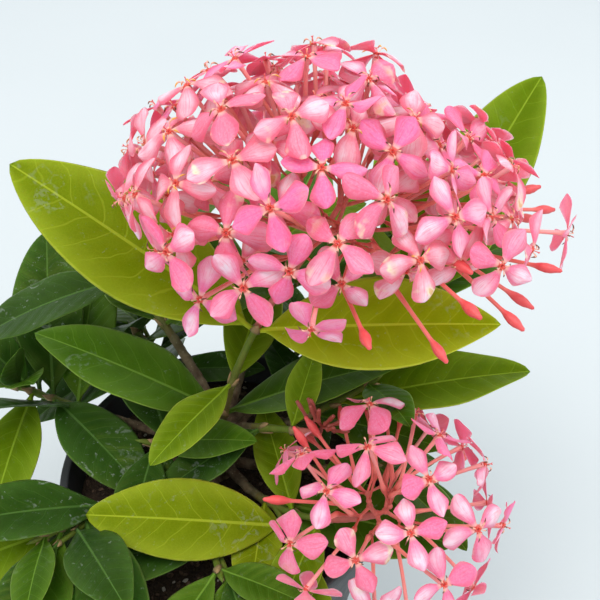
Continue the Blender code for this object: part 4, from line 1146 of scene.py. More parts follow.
# Set on points: puts the original numbered "kind" on each point, turned by "turn" and sized by "size"
SET_ON_POINTS, given, out = geometry_tree("set_on_points", [
    ("Originals", "NodeSocketCollection"), ("Scale", "NodeSocketFloat"), ("Finish", "NodeSocketMaterial")])


def carried(tree, label, kind):
    """A value that the points of a carrier carry, for a geometry tree."""
    made = node(tree, "GeometryNodeInputNamedAttribute", data_type=kind)
    made.inputs["Name"].default_value = label
    return made.outputs[0]


set_down(SET_ON_POINTS, given, out, given["Geometry"], carried(SET_ON_POINTS, "turn", "FLOAT_VECTOR"),
         times(SET_ON_POINTS, carried(SET_ON_POINTS, "size", "FLOAT"), given["Scale"]),
         carried(SET_ON_POINTS, "kind", "INT"))


def set_on_points(name, originals, places, material):
    """One mesh of copies. A place is its point, its three axes, its size, its kind and its tint."""
    for number, bunch in enumerate(originals):
        move_to_tools(bunch.build(f"original_{number:02d}", material))
    carrier = mesh_object("places", [p[0] for p in places], [])
    data = carrier.data.attributes
    turns = []
    for _, axes, _, _, _ in places:
        turns += Matrix(axes).transposed().to_euler("XYZ")
    data.new("turn", "FLOAT_VECTOR", "POINT").data.foreach_set("vector", turns)
    for number, (label, kind) in enumerate((("size", "FLOAT"), ("kind", "INT"), ("tint", "FLOAT")), 2):
        data.new(label, kind, "POINT").data.foreach_set("value", [place[number] for place in places])
    made = grown(carrier, SET_ON_POINTS, {"Originals": tools, "Scale": 1.0, "Finish": material}, name)
    bpy.data.objects.remove(carrier)
    empty_tools()
    for label in ("turn", "size", "kind"):
        if label in made.data.attributes:
            made.data.attributes.remove(made.data.attributes[label])
    made.data.polygons.foreach_set("use_smooth", [True] * len(made.data.polygons))
    return made


PETAL_PINK = (0.89, 0.152, 0.292, 1.0)
PETAL_LILAC = (0.87, 0.148, 0.338, 1.0)
PETAL_PALE = (0.96, 0.58, 0.655, 1.0)
PETAL_DEEP = (0.86, 0.048, 0.118, 1.0)
PETAL_SALMON = (0.92, 0.175, 0.235, 1.0)
PETAL_EDGE = (0.76, 0.046, 0.070, 1.0)
# coral of the lobes' backs: partly their own tone, partly painted light that stands in for light shining
# through the shaded backs
PETAL_BACK_PAINTED_GLOW = (0.96, 0.19, 0.265, 1.0)
EYE_CORAL = (0.74, 0.085, 0.060, 1.0)
EYE_CREAM = (0.95, 0.50, 0.36, 1.0)
PETAL_STAIN = (0.95, 0.72, 0.46, 1.0)
STAIN_HEART = (0.72, 0.33, 0.07, 1.0)

petal_material, tree, shader = finish("pink_petal", 0.46, {
    "Subsurface Weight": 0.60, "Subsurface Scale": 0.0025, "Subsurface Radius": (1.0, 0.28, 0.32),
    "Sheen Weight": 0.10, "Sheen Roughness": 0.5, "Specular IOR Level": 0.25})
reach, sideways, side_place, under, shade, tone = (
    point_value(tree, label) for label in ("reach", "across", "side", "under", "tint", "tone"))
# a number for each lobe of each flower, and a second one drawn from it
tone = reckon(tree, "FRACT", reckon(tree, "ADD", tone, times(tree, shade, 5.37)))
chance = reckon(tree, "FRACT", times(tree, tone, 7.7))
patches, grain = mottle(tree, 210.0, fine=5.0)
# fine lines that run out along each lobe
line_place = node(tree, "ShaderNodeCombineXYZ", {
    0: times(tree, side_place, 9.0), 1: times(tree, reach, 1.6), 2: times(tree, shade, 40.0)}).outputs[0]
lines = clouds(tree, line_place, 1.3)
colour = mixed(tree, between(tree, shade, 0.35, 0.9), PETAL_PINK, PETAL_SALMON)
colour = mixed(tree, between(tree, shade, 0.34, 0.14, 0.0, 0.8), colour, PETAL_LILAC)
# pale hearts of the older lobes, deeper towards the edges, partly their own deeper pink and partly painted
# shade, and a thin dark rim
pale = times(tree, between(tree, reach, 0.16, 0.58), between(tree, sideways, 1.0, 0.25))
pale = times(tree, pale, between(tree, patches, 0.0, 1.0, 0.55, 1.0))
aged = reckon(tree, "MAXIMUM", between(tree, tone, 0.25, 0.90, 0.0, 0.95),
              between(tree, shade, 0.62, 0.86, 0.0, 0.8))
colour = mixed(tree, times(tree, pale, aged), colour, PETAL_PALE)
colour = mixed(tree, between(tree, lines, 0.46, 0.70, 0.0, 0.42), colour, PETAL_DEEP)
colour = mixed(tree, between(tree, grain, 0.45, 0.80, 0.0, 0.10), colour, PETAL_PALE)
# deeper flanks: the lobes' own deeper pink edges, with a painted saturated shade laid over them
deep_flanks_painted_shade = times(tree, between(tree, sideways, 0.45, 1.0), between(tree, tone, 0.0, 1.0, 0.85, 0.50))
colour = mixed(tree, deep_flanks_painted_shade, colour, PETAL_DEEP)
colour = mixed(tree, between(tree, sideways, 0.93, 1.0, 0.0, 0.6), colour, PETAL_EDGE)
# dried spots on some of the lobes
blots = clouds(tree, own_place(tree), 190.0)
spoilt = times(tree, between(tree, chance, 0.56, 0.66), between(tree, reach, 0.50, 0.84))
spoilt = times(tree, spoilt, between(tree, shade, 0.50, 0.60, 0.10, 1.0))
stained = times(tree, spoilt, between(tree, blots, 0.50, 0.64, 0.0, 0.8))
browned = times(tree, spoilt, between(tree, blots, 0.64, 0.69, 0.0, 0.7))
colour = mixed(tree, browned, mixed(tree, stained, colour, PETAL_STAIN), STAIN_HEART)
# the eye: a cream ring round a coral throat
colour = mixed(tree, between(tree, reach, 0.20, 0.07, 0.0, 0.60), colour, EYE_CREAM)
colour = mixed(tree, between(tree, reach, 0.075, 0.020), colour, EYE_CORAL)
# backs of the lobes: their own coral, brightened as painted light through the shaded backs
colour = mixed(tree, times(tree, under, 0.60), colour, PETAL_BACK_PAINTED_GLOW)
feed(tree, shader, colour, between(tree, grain, 0.0, 1.0, 0.40, 0.56),
     reckon(tree, "ADD", lines, times(tree, grain, 0.3)), 0.00016, 0.5)

POLLEN_DARK = (0.085, 0.020, 0.015, 1.0)
POLLEN_BROWN = (0.42, 0.17, 0.045, 1.0)
POLLEN_GOLD = (0.86, 0.42, 0.030, 1.0)
POLLEN_RUST = (0.45, 0.17, 0.05, 1.0)
FILAMENT_PALE = (0.88, 0.44, 0.32, 1.0)
STYLE_RED = (0.72, 0.10, 0.10, 1.0)

anther_material, tree, shader = finish("anther", 0.6)
part, shade = point_value(tree, "part"), point_value(tree, "tint")
patches, grain = mottle(tree, 900.0, fine=3.0)
pollen = mixed(tree, between(tree, shade, 0.62, 0.72), POLLEN_DARK, POLLEN_BROWN)
pollen = mixed(tree, between(tree, shade, 0.86, 0.90), pollen, POLLEN_GOLD)
pollen = mixed(tree, between(tree, part, 0.40, 0.50), FILAMENT_PALE, pollen)
pollen = mixed(tree, times(tree, patches, 0.3), pollen, POLLEN_RUST)
colour = mixed(tree, between(tree, part, 0.7, 0.8), pollen, STYLE_RED)
feed(tree, shader, colour, None, grain, 0.0001, 0.5)

TUBE_SIDES = 8
# Radii down the tube, over its swollen foot and down the pedicel
TUBE_RADII = (0.00125, 0.00100, 0.00085, 0.00080, 0.00078, 0.00076, 0.00076, 0.00078, 0.00084, 0.00125,
              0.00120, 0.00060, 0.00052, 0.00050)


def tube_line(flower):
    """The tube bends a little on its way down, and its swollen foot stands on the pedicel."""
    place, foot = flower["place"], flower["foot"]
    line = bent(place - flower["facing"] * 0.0002, place - flower["facing"] * 0.010, foot, 9)
    return line + [foot.lerp(flower["root"], t) for t in (0.12, 0.3, 0.6, 1.0)]


# Each flower takes the kind, the turn and the lean that rub least against the flowers set before it.
# A lower storey fills the gaps, as in the plant, and keeps only the flowers that touch nothing.
FLOWER_SETTINGS = 20
FLOWER_LEAN = 0.17
LOBES_NEAR = 2.3 * FLOWER_RADIUS
TUBES_NEAR = 3.6 * FLOWER_RADIUS
LOWER_STOREY = {"top": 170, "front": 0, "young": 0}
LOWER_DEPTHS = (0.74, 1.0)
OLDEST_TINT = {"top": 1.0, "front": 0.62, "young": 0.0}
LOWER_TUBE = 0.80
LOWER_SIZE = 0.92
LOWER_TURN = 1.2
kinds = [open_flower(n) for n in range(FLOWER_KINDS)]
places, lobe_trees, tube_trees = [], [], []


def set_flower(flower, number, rub_allowed):
    """Sets the flower down in its best way, and says whether it rubs no more than is allowed."""
    rng = random.Random(500 + number)
    near = [tree for tree, spot in lobe_trees if (spot - flower["place"]).length < LOBES_NEAR]
    tubes = [tree for tree, spot in tube_trees if (spot - flower["place"]).length < TUBES_NEAR]
    my_tube = BVHTree.FromPolygons(*ring_faces(tube_rings(tube_line(flower), TUBE_RADII, 4)))
    best = None
    for _ in range(FLOWER_SETTINGS):
        kind = rng.randrange(FRESH_KINDS) + (FRESH_KINDS if flower["tint"] > AGED_TINT else 0)
        lean = Vector((rng.gauss(0, 1), rng.gauss(0, 1), rng.gauss(0, 1))) * FLOWER_LEAN
        facing = (flower["facing"] + lean).normalized()
        side = spun(facing, flower["spin"] + rng.uniform(-0.6, 0.6))
        axes = (side, facing.cross(side), facing)
        turn = Matrix(axes).transposed() * flower["size"]
        points = [flower["place"] + turn @ p for p in kinds[kind].points]
        tree = BVHTree.FromPolygons(points, kinds[kind].faces)
        rubbing = sum(len(tree.overlap(other)) for other in near)
        if rub_allowed == 0:
            rubbing += sum(len(tree.overlap(other)) for other in tubes)
        if best is None or rubbing < best[0]:
            best = (rubbing, kind, axes, tree)
        if not rubbing:
            break
    if best[0] > rub_allowed or (rub_allowed == 0 and any(my_tube.overlap(other) for other in near)):
        return False
    lobe_trees.append((best[3], flower["place"]))
    tube_trees.append((my_tube, flower["place"].lerp(flower["foot"], 0.5)))
    places.append((flower["place"], best[2], flower["size"], best[1], flower["tint"]))
    return True


for name, parts in heads.items():
    for flower in parts["flowers"]:
        flower["tint"] *= OLDEST_TINT[name]
        set_flower(flower, len(places), math.inf)
for name, parts in heads.items():
    head = HEADS[name]
    rng = random.Random(head["seed"] + 7)
    hub = Vector(AXES[name]["tip"])
    middle = hub + Vector((head["lean"][0], head["lean"][1], 1.0)).normalized() * head["lift"]
    reach = math.cos(math.radians(head["reach"] - 6))
    parts["lower"] = []
    for i in range(LOWER_STOREY[name]):
        theta = math.acos(1 - (1 - reach) * (i + 0.5) / LOWER_STOREY[name])
        flower = flower_at(head, hub, i * GOLDEN_ANGLE + LOWER_TURN, theta, rng)
        tint = rng.random()
        place = middle + (flower["place"] - middle) * rng.uniform(*LOWER_DEPTHS)
        foot = place + (flower["foot"] - flower["place"]) * LOWER_TUBE
        root = min((knot for knot, _ in parts["knots"]), key=lambda knot: (knot - foot).length)
        flower.update(place=place, foot=foot, root=root, tint=0.5 + 0.5 * tint,
                      size=LOWER_SIZE * flower["size"])
        if set_flower(flower, 1000 + i, 0):
            parts["lower"].append(flower)
petal_piece = set_on_points("blossom_petals", kinds, places, petal_material)
petal_piece.data.set_sharp_from_angle(angle=math.radians(75))
hearts = [flower_heart(n) for n in range(FLOWER_KINDS)]
heart_piece = set_on_points("blossom_hearts", hearts, places, anther_material)

# Tubes: each from the back of its flower down to its small dark ovary, then the pedicel
tube_bunch = Bunch("along", "tint")
for parts in heads.values():
    for flower in parts["flowers"] + parts["lower"]:
        tube_bunch.tube(tube_line(flower), TUBE_RADII, TUBE_SIDES, tint=flower["tint"],
                        along=lambda ring: ring / (len(TUBE_RADII) - 1))

TUBE_FRESH = (0.93, 0.31, 0.30, 1.0)
TUBE_AGED = (0.96, 0.45, 0.46, 1.0)
TUBE_CORAL = (0.91, 0.27, 0.225, 1.0)
OVARY_RED = (0.55, 0.10, 0.075, 1.0)

tube_material, tree, shader = finish("coral_tube", 0.45, {
    "Subsurface Weight": 0.25, "Subsurface Scale": 0.003, "Subsurface Radius": (1.0, 0.35, 0.25)})
along = point_value(tree, "along")
_, grain = mottle(tree, 500.0, fine=3.0)
upper = mixed(tree, point_value(tree, "tint"), TUBE_FRESH, TUBE_AGED)
colour = mixed(tree, between(tree, along, 0.0, 0.60), upper, TUBE_CORAL)
colour = mixed(tree, between(tree, along, 0.64, 0.72), colour, OVARY_RED)
feed(tree, shader, colour, None, grain, 0.0001, 0.3)
tube_piece = tube_bunch.build("blossom_tubes", tube_material)

# Buds: a four-sided spindle, twisted shut, on its tube
BUD_SIDES = 12
BUD_THIN = 0.00075
# Each ring of the bud itself: its share of the way from the neck to the tip, and its width
BUD_RINGS = ((0.15, 0.50), (0.32, 0.82), (0.5, 1.0), (0.68, 0.90), (0.84, 0.55), (0.95, 0.22))
BUD_CORAL = (0.78, 0.165, 0.135, 1.0)
BUD_RED = (0.67, 0.064, 0.068, 1.0)
BUD_FLUSH = (0.75, 0.125, 0.115, 1.0)
BUD_DARK = (0.21, 0.045, 0.028, 1.0)


def bud_twist(spot, angle, share):
    """Four folded lobes that wind round the bud above its tube."""
    return 0.07 * math.cos(4 * angle + 5 * share) * (share > 0.5)


bud_bunch = Bunch("along", "dark")
for name, parts in heads.items():
    for bud in parts["buds"]:
        along = (bud["place"] - bud["foot"]).normalized()
        size = BUD_LENGTH * bud["size"]
        neck = bud["place"] - along * (0.55 * size)
        tip = bud["place"] + along * (0.45 * size)
        line = [bud["root"].lerp(bud["foot"], t) for t in (0.0, 0.4, 0.8)] + [bud["foot"]]
        radii = [0.00050, 0.00050, 0.00060, 0.00110]
        for t in (0.15, 0.5, 1.0):
            line.append(bud["foot"].lerp(neck, t))
            radii.append(BUD_THIN if t > 0.2 else 0.0010)
        for t, share in BUD_RINGS:
            line.append(neck.lerp(tip, t))
            radii.append(max(BUD_THIN, BUD_RADIUS * 0.76 * bud["size"] * share))
        bud_bunch.tube(line, radii, BUD_SIDES, bud_twist, tip, dark=0.0 if parts["flowers"] else 0.85,
                       along=lambda ring: ring / len(line))

bud_material, tree, shader = finish("red_bud", 0.42, {
    "Subsurface Weight": 0.15, "Subsurface Scale": 0.002, "Subsurface Radius": (1.0, 0.3, 0.2)})
patches, grain = mottle(tree, 500.0, fine=4.0)
colour = mixed(tree, between(tree, point_value(tree, "along"), 0.44, 0.62), BUD_CORAL, BUD_RED)
colour = mixed(tree, times(tree, patches, 0.35), colour, BUD_FLUSH)
colour = mixed(tree, point_value(tree, "dark"), colour, BUD_DARK)
feed(tree, shader, colour, None, grain, 0.0001, 0.4)
bud_piece = bud_bunch.build("blossom_buds", bud_material)

for piece in (stalk_piece, tube_piece, petal_piece, heart_piece, bud_piece):
    dress(piece, "blossom", *(f"blossom_{name}" for name in HEADS))


# Shoots and leaves
# Each bough ends in a green shoot with its leaves in crossed pairs: leathery, glossy blades on very
# short stalks, folded a little along the pale midrib, with eight to ten pairs of side veins. Young
# ones are yellow-green, old ones deep green with a bluish shine and a chalky bloom of dried water.
TWIG_LENGTH = 0.026
TWIG_RADIUS = 0.0014
TWIG_TIP_RADIUS = 0.0011
TWIG_SHARE = 0.26
# The pairs of a side twig: share of the twig, share of the longest pair of the axis, and age
TWIG_LEAVES = ((0.60, 0.82, 0.5), (0.97, 0.62, 0.2))
NODE_SETBACK = 0.0035
LEAF_HALF_WIDTH = 0.200
LEAF_THICKNESS = 0.017
LEAF_FOLD = 0.16
LEAF_MARGIN = 1.04
LEAF_CLEARANCE = 0.0008
LEAF_JITTER = 9
LEAF_ROLL = 16
# Stations of a plain leaf: share of its length, and share of its half width
LEAF_STATIONS = ((0.0, 0.0), (0.30, 0.84), (0.66, 0.94), (1.0, 0.0))
BLADE_STATIONS = ((0.12, 0.40),) + LEAF_STATIONS[1:]
LEAF_TRIES = 14
STRAY_TURN = 42
STRAY_RISE = 34
STRAY_SHRINK = 0.16
LIGHT_PULL = 0.5
# Leaves that stand clear of the rest: the axis, the pair counted from below and its side, then the
# compass angle, the rise over level, the arch, the roll and the length. The pairs of the side twig
# are counted on after those of the axis itself.
CLEAR_LEAVES = {
    ("top", 0, 0): (170, 30, 12, 0, 0.091),
    ("top", 0, 1): (-14, 12, 14, 0, 0.094),
    ("top", 1, 0): (232, 2, 16, 0, 0.052),
    ("top", 2, 0): (161, 33, 10, -22, 0.120),
    ("top", 2, 1): (-12, 17, 14, 26, 0.100),
    ("front", 0, 0): (250, 8, 16, 0, 0.060),
    ("front", 0, 1): (-15, -3, 12, 0, 0.096),
    ("front", 1, 1): (122, 40, 14, 0, 0.054),
    ("front", 2, 0): (50, -2, 14, 0, 0.050),
    ("front", 2, 1): (240, -4, 14, 0, 0.056),
    ("front", 3, 1): (187, 13, 16, -26, 0.087),
    ("young", 0, 1): (206, -12, 18, 0, 0.056),
    ("young", 1, 0): (60, 66, 14, 0, 0.040),
    ("low_left", 0, 1): (352, 24, 18, 0, 0.052),
    ("right", 0, 0): (-18, 8, 16, 0, 0.062),
    ("right", 1, 0): (0, 20, 14, 0, 0.090),
    ("right_back", 1, 1): (62, 36, 14, 0, 0.070),
    ("right_back", 2, 0): (118, 20, 16, 0, 0.070),
    ("right_back", 2, 1): (44, 46, 10, 10, 0.102),
    ("right_back", 4, 0): (84, 16, 14, 0, 0.060),
    ("right_back", 4, 1): (206, -12, 14, 0, 0.050),
    ("right_back", 5, 1): (76, 20, 14, 0, 0.050),
    ("low_right", 1, 0): (24, 4, 16, 0, 0.050),
    ("low_right", 3, 1): (-70, -6, 16, 0, 0.040),
    ("left_back", 0, 0): (124, -6, 16, 0, 0.066),
    ("left_back", 1, 0): (122, 34, 16, 0, 0.066),
    ("left_back", 2, 1): (194, -2, 30, 0, 0.080),
    ("left", 1, 0): (98, 40, 22, 0, 0.088),
    ("left", 2, 0): (154, 30, 22, 0, 0.072),
    ("left", 2, 1): (262, -4, 22, 0, 0.072),
    ("left", 1, 1): (312, 4, 22, 0, 0.078),
    ("left_front", 0, 1): (204, 30, 20, 0, 0.078),
    ("left_front", 2, 0): (262, 0, 20, 0, 0.070),
    ("left_front", 5, 0): (196, -8, 20, 0, 0.045),
    ("low_front", 3, 0): (236, -8, 18, 0, 0.052),
    ("low_front", 5, 0): (256, -10, 20, 0, 0.048),
    ("inner", 2, 1): (262, 0, 16, 0, 0.056),
}


def leaf_at(base, stem, compass, rise, droop, roll, length, pull):
    """One leaf: it starts off the stem at the angle "rise" and arches over by "droop"."""
    axis = stem.lerp(UP, pull).normalized()
    out = across(axis, level(math.radians(compass)))
    tilt = math.radians(rise)
    ahead = (axis * math.cos(tilt) + out * math.sin(tilt)).normalized()
    face = across(ahead, axis.lerp(UP, LIGHT_PULL))
    face = Matrix.Rotation(math.radians(roll), 3, ahead) @ face
    return dict(base=base, ahead=ahead, face=face, side=ahead.cross(face), length=length,
                droop=math.radians(droop))


def leaf_point(leaf, share, sideways=0.0, lifted=0.0):
    """Point on the leaf: along its arch, across its blade and over its face."""
    turn = leaf["droop"] * share
    reach = math.sin(turn) / leaf["droop"]
    drop = (1 - math.cos(turn)) / leaf["droop"]
    middle = leaf["base"] + (leaf["ahead"] * reach - leaf["face"] * drop) * leaf["length"]
    face = leaf["face"] * math.cos(turn) + leaf["ahead"] * math.sin(turn)
    return middle + leaf["side"] * sideways + face * lifted


def shoot_leaves(name, axis):
    """All the leaves that one axis would carry, oldest first, and the stems of its side twigs."""
    rng = random.Random(axis["seed"])
    wishes, twigs = [], []
    pairs = len(axis["sizes"])

    def pair(node, stem, turn, rise, droop, length, age, number=None):
        for side in (0, 1):
            wish = dict(base=node, stem=stem,
                        compass=turn + 180 * side + rng.uniform(-LEAF_JITTER, LEAF_JITTER),
                        rise=rise + rng.uniform(-6, 6), droop=droop * rng.uniform(0.7, 1.2),
                        roll=rng.uniform(-LEAF_ROLL, LEAF_ROLL), length=length * rng.uniform(0.94, 1.06),
                        age=age, first=False)
            if (name, number, side) in CLEAR_LEAVES:
                heading, over_level, arch, roll, size = CLEAR_LEAVES[name, number, side]
                wish.update(stem=UP, compass=heading, rise=90 - over_level, droop=arch, roll=roll,
                            length=size, first=True)
            wishes.append(wish)

    for k, size in enumerate(axis["sizes"]):
        along = ((k + 0.30) / (pairs - 0.62)) ** axis["pace"]
        share = axis["split"] + (axis["end"] - axis["split"]) * along
        share = min(share, axis["end"] - NODE_SETBACK / axis_length(axis))
        pair(axis_point(axis, share), axis_direction(axis, share), axis["turn"] + 90 * k,
             axis["rise"] + 8 - 8 * k, axis["droop"], size, 1.0 - k / pairs, k)
    if axis["twig"] is not None:
        share = axis["split"] + TWIG_SHARE * (axis["end"] - axis["split"])
        foot, stem = axis_point(axis, share), axis_direction(axis, share)
        heading = (stem + UP * 0.3 + level(math.radians(axis["twig"])) * 1.1).normalized()
        tip = foot + heading * TWIG_LENGTH
        twigs.append((foot, tip))
        for k, (along, size, age) in enumerate(TWIG_LEAVES):
            pair(foot.lerp(tip, along), heading, axis["twig"] + 90 + 90 * k, axis["rise"] - 8,
                 axis["droop"], size * max(axis["sizes"]), age, pairs + k)
    return wishes, twigs


def leaf_rings(leaf, wider=1.0, thicker=0.0, stations=LEAF_STATIONS):
    """Rings of four points up the blade: edge, face, edge and back. The last station is the tip."""
    half = leaf["length"] * LEAF_HALF_WIDTH
    thick = leaf["length"] * LEAF_THICKNESS / 2
    rings = []
    for share, width in stations:
        edge = half * width * wider
        lift = edge * LEAF_FOLD
        if width == 0.0:
            rings.append([leaf_point(leaf, share)])
            continue
        rings.append([leaf_point(leaf, share, sideways, lifted) for sideways, lifted in (
            (-edge, lift), (0.0, thick + thicker), (edge, lift), (0.0, -thick - thicker))])
    return rings


waiting, side_twigs, leaves = [], [], []
for name, axis in AXES.items():
    wishes, twigs = shoot_leaves(name, axis)
    for foot, tip in twigs:
        add(*stalk_mesh(foot, tip, TWIG_RADIUS, TWIG_TIP_RADIUS), name)
        side_twigs.append((name, foot, tip))
    waiting += [(not wish["first"], name, number, wish) for number, wish in enumerate(wishes)]
waiting.sort(key=lambda item: item[0])
for _, name, number, wish in waiting:
    axis = AXES[name]
    rng = random.Random(100 * axis["seed"] + number)
    for attempt in range(LEAF_TRIES):
        stray = attempt / (LEAF_TRIES - 1)
        leaf = leaf_at(wish["base"], wish["stem"],
                       wish["compass"] + STRAY_TURN * stray * rng.uniform(-1, 1),
                       wish["rise"] + STRAY_RISE * stray * rng.uniform(-1, 1), wish["droop"],
                       wish["roll"] + LEAF_ROLL * stray * rng.uniform(-1, 1),
                       wish["length"] * (1 - STRAY_SHRINK * stray), axis.get("pull", LIGHT_PULL))
        leaf.update(age=wish["age"], name=name, number=number)
        whole = ring_faces(leaf_rings(leaf, LEAF_MARGIN, LEAF_CLEARANCE))
        blade = ring_faces(leaf_rings(leaf, LEAF_MARGIN, LEAF_CLEARANCE, BLADE_STATIONS))
        if clear(*whole, name) and clear(*blade):
            add(*ring_faces(leaf_rings(leaf, stations=BLADE_STATIONS)), name)
            leaves.append(leaf)
            break

LEAF_COLUMNS = (-1.0, -0.93, -0.76, -0.52, -0.28, -0.09, 0.0, 0.09, 0.28, 0.52, 0.76, 0.93, 1.0)
LEAF_STEPS = 26
STALK_SHARE = 0.05
STALK_HALF = 0.0011
BLADE_THICK = 0.00042


def fine_leaf(leaf, bunch, tint):
    """One leaf as a thin closed blade: stalk, gutter over the midrib, folded sides and a wavy edge."""
    rng = random.Random(round(leaf["base"].x * 1e6) + leaf["number"])
    length = leaf["length"]
    half = length * LEAF_HALF_WIDTH
    wedge, blunt = rng.uniform(0.80, 0.98), rng.uniform(0.64, 0.84)
    phase, ripple = rng.uniform(0, 6.28), rng.uniform(0.015, 0.05)
    shares = [0.5 * (i / LEAF_STEPS) + 0.25 * (1.0 - math.cos(math.pi * i / LEAF_STEPS))
              for i in range(LEAF_STEPS)]
    rings, reach, sideways, under, uv = [], [], [], [], []
    for share in shares:
        t = max(0.0, (share - STALK_SHARE) / (1.0 - STALK_SHARE))
        blade = half * math.sin(math.pi * t**0.96) ** (wedge + (blunt - wedge) * t) if t > 0.0 else 0.0
        width = max(STALK_HALF, blade)
        in_blade = min(1.0, t / 0.10)
        thick = (1 - in_blade) * STALK_HALF + in_blade * BLADE_THICK / 2
        upper, lower = [], []
        for column in LEAF_COLUMNS:
            flank = abs(column)
            lift = width * LEAF_FOLD * flank * (1.12 - 0.34 * flank) * in_blade
            wave = math.sin(15.0 * share + phase + (1.3 if column > 0 else 0.0))
            lift += half * ripple * flank**2 * wave * in_blade
            body = thick * math.sqrt(max(0.0, 1.0 - column**2))
            gutter = 0.00022 * math.exp(-((flank / 0.07) ** 2)) * in_blade * (1 - share)
            rib = 0.00075 * math.exp(-((flank / 0.08) ** 2)) * in_blade * (1 - share) ** 0.7
            upper.append(leaf_point(leaf, share, column * width, lift + body - gutter))
            lower.append(leaf_point(leaf, share, column * width, lift - body - rib))
        rings.append(upper + lower[-2:0:-1])
        for column, below in [(c, 0.0) for c in LEAF_COLUMNS] + [(c, 1.0) for c in LEAF_COLUMNS[-2:0:-1]]:
            sideways.append(abs(column))
            under.append(below)
            reach.append(share)
            uv.append((0.5 + column * width / length, share))
    rings.append([leaf_point(leaf, 1.0)])
    sideways.append(0.0)
    under.append(0.0)
    reach.append(1.0)
    uv.append((0.5, 1.0))
    points, faces = ring_faces(rings)
    bunch.add(points, faces, across=sideways, under=under, tint=tint, leaf_uv=uv)


# Leaves that the photograph shows in a green of their own: the axis and the leaf's number on it. The lime
# green is brighter than the leaf's own green, as painted light on a leaf that lies in the upper head's
# shade.
LEAF_GREENS = {
    ("top", 0): "mid", ("top", 1): "mid", ("top", 2): "fresh", ("top", 3): "fresh", ("top", 4): "spring",
    ("top", 5): "lime", ("front", 7): "spring", ("front", 3): "fresh", ("front", 0): "spring",
    ("front", 5): "fresh", ("front", 1): "mid", ("front", 4): "mid", ("right", 2): "fresh",
    ("right_back", 5): "fresh", ("young", 1): "deep", ("young", 2): "fresh", ("left", 0): "mid",
    ("left", 3): "deep", ("left", 5): "fresh", ("left_front", 1): "deep", ("left_front", 5): "fresh",
    ("left_back", 5): "deep", ("inner", 5): "deep",
}


def green_of(leaf):
    """Which green a leaf has: by its spray, its place on it and a little chance."""
    name, number = leaf["name"], leaf["number"]
    chance = random.Random(number * 31 + len(name)).random()
    if (name, number) in LEAF_GREENS:
        return LEAF_GREENS[name, number]
    if name in ("front", "right_back", "young"):
        return "fresh" if number > 3 or chance < 0.5 else "mid"
    if name in ("right", "back"):
        return "fresh" if leaf["age"] < 0.4 and chance < 0.7 else "mid"
    return "mid" if leaf["age"] < 0.6 and chance < 0.6 or name == "left_back" else "deep"


# Leaf surface: veins, midrib, edge, underside and bloom, for each of the greens
LEAF_SURFACE, given, out = new_group("leaf_surface", [
    ("Blade", "NodeSocketColor", (0.1, 0.2, 0.03, 1.0)), ("Vein", "NodeSocketColor", (0.3, 0.4, 0.1, 1.0)),
    ("Edge", "NodeSocketColor", (0.4, 0.45, 0.1, 1.0)), ("Back", "NodeSocketColor", (0.2, 0.3, 0.1, 1.0)),
    ("Vein strength", "NodeSocketFloat", 0.4), ("Bloom", "NodeSocketFloat", 0.0),
    ("Gloss", "NodeSocketFloat", 0.35)],
    [("Colour", "NodeSocketColor"), ("Height", "NodeSocketFloat"), ("Roughness", "NodeSocketFloat")])
BLACK = (0.0, 0.0, 0.0, 1.0)
CHALK = (0.42, 0.46, 0.42, 1.0)
VEIN_ROWS = 9.5
blade = LEAF_SURFACE
leaf_place = node(blade, "ShaderNodeUVMap", uv_map="leaf_uv").outputs[0]
leaf_place = node(blade, "ShaderNodeSeparateXYZ", {0: leaf_place})
off_rib = reckon(blade, "SUBTRACT", leaf_place.outputs[0], 0.5)
flank, share = reckon(blade, "ABSOLUTE", off_rib), leaf_place.outputs[1]
spot = own_place(blade)
# side veins: rows that slant up from the midrib and wander a little
bend = times(blade, reckon(blade, "POWER", flank, 2.0), 1.5)
slant = reckon(blade, "ADD", times(blade, flank, 0.62), bend)
row = times(blade, reckon(blade, "SUBTRACT", share, slant), VEIN_ROWS)
row = reckon(blade, "ADD", row, times(blade, clouds(blade, spot, 26.0, 3.0), 2.2))
row = reckon(blade, "ADD", row, times(blade, reckon(blade, "SIGN", off_rib), 0.22))
from_vein = reckon(blade, "ABSOLUTE", reckon(blade, "SUBTRACT", reckon(blade, "FRACT", row), 0.5))
side_vein = times(blade, between(blade, from_vein, 0.055, 0.010),
                  between(blade, flank, 0.20, 0.10, 0.25, 1.0))
rib_width = reckon(blade, "SUBTRACT", 0.0105, times(blade, share, 0.0078))
midrib = between(blade, reckon(blade, "DIVIDE", flank, rib_width), 1.15, 0.55)
net = node(blade, "ShaderNodeTexVoronoi", {"Vector": spot, "Scale": 620.0}, feature="DISTANCE_TO_EDGE")
net = between(blade, net.outputs["Distance"], 0.10, 0.02)
patches, grain = mottle(blade, 55.0, fine=9.0)
tint, margin, below = (point_value(blade, label) for label in ("tint", "across", "under"))
# colour: the blade, painted shade on its cushions between the veins, the net, the veins, the paler margin,
# the back and the edge
colour = mixed(blade, between(blade, tint, 0.0, 1.0, 0.0, 0.22), given["Blade"], BLACK)
colour = mixed(blade, times(blade, patches, 0.14), colour, given["Vein"])
cushion_and_painted_shade = between(blade, from_vein, 0.10, 0.42)
# painted shade: the cushions between the side veins are darkened a little towards black
colour = mixed(blade, times(blade, cushion_and_painted_shade, 0.05), colour, BLACK)
net_strength = times(blade, given["Vein strength"], 0.22)
veins = reckon(blade, "MAXIMUM", times(blade, side_vein, given["Vein strength"]),
               times(blade, net, net_strength))
colour = mixed(blade, veins, colour, given["Vein"])
colour = mixed(blade, times(blade, midrib, 0.85), colour, given["Vein"])
colour = mixed(blade, between(blade, margin, 0.35, 1.0, 0.0, 0.20), colour, given["Edge"])
colour = mixed(blade, times(blade, below, 0.75), colour, given["Back"])
colour = mixed(blade, times(blade, between(blade, margin, 0.94, 0.99), 0.85), colour, given["Edge"])
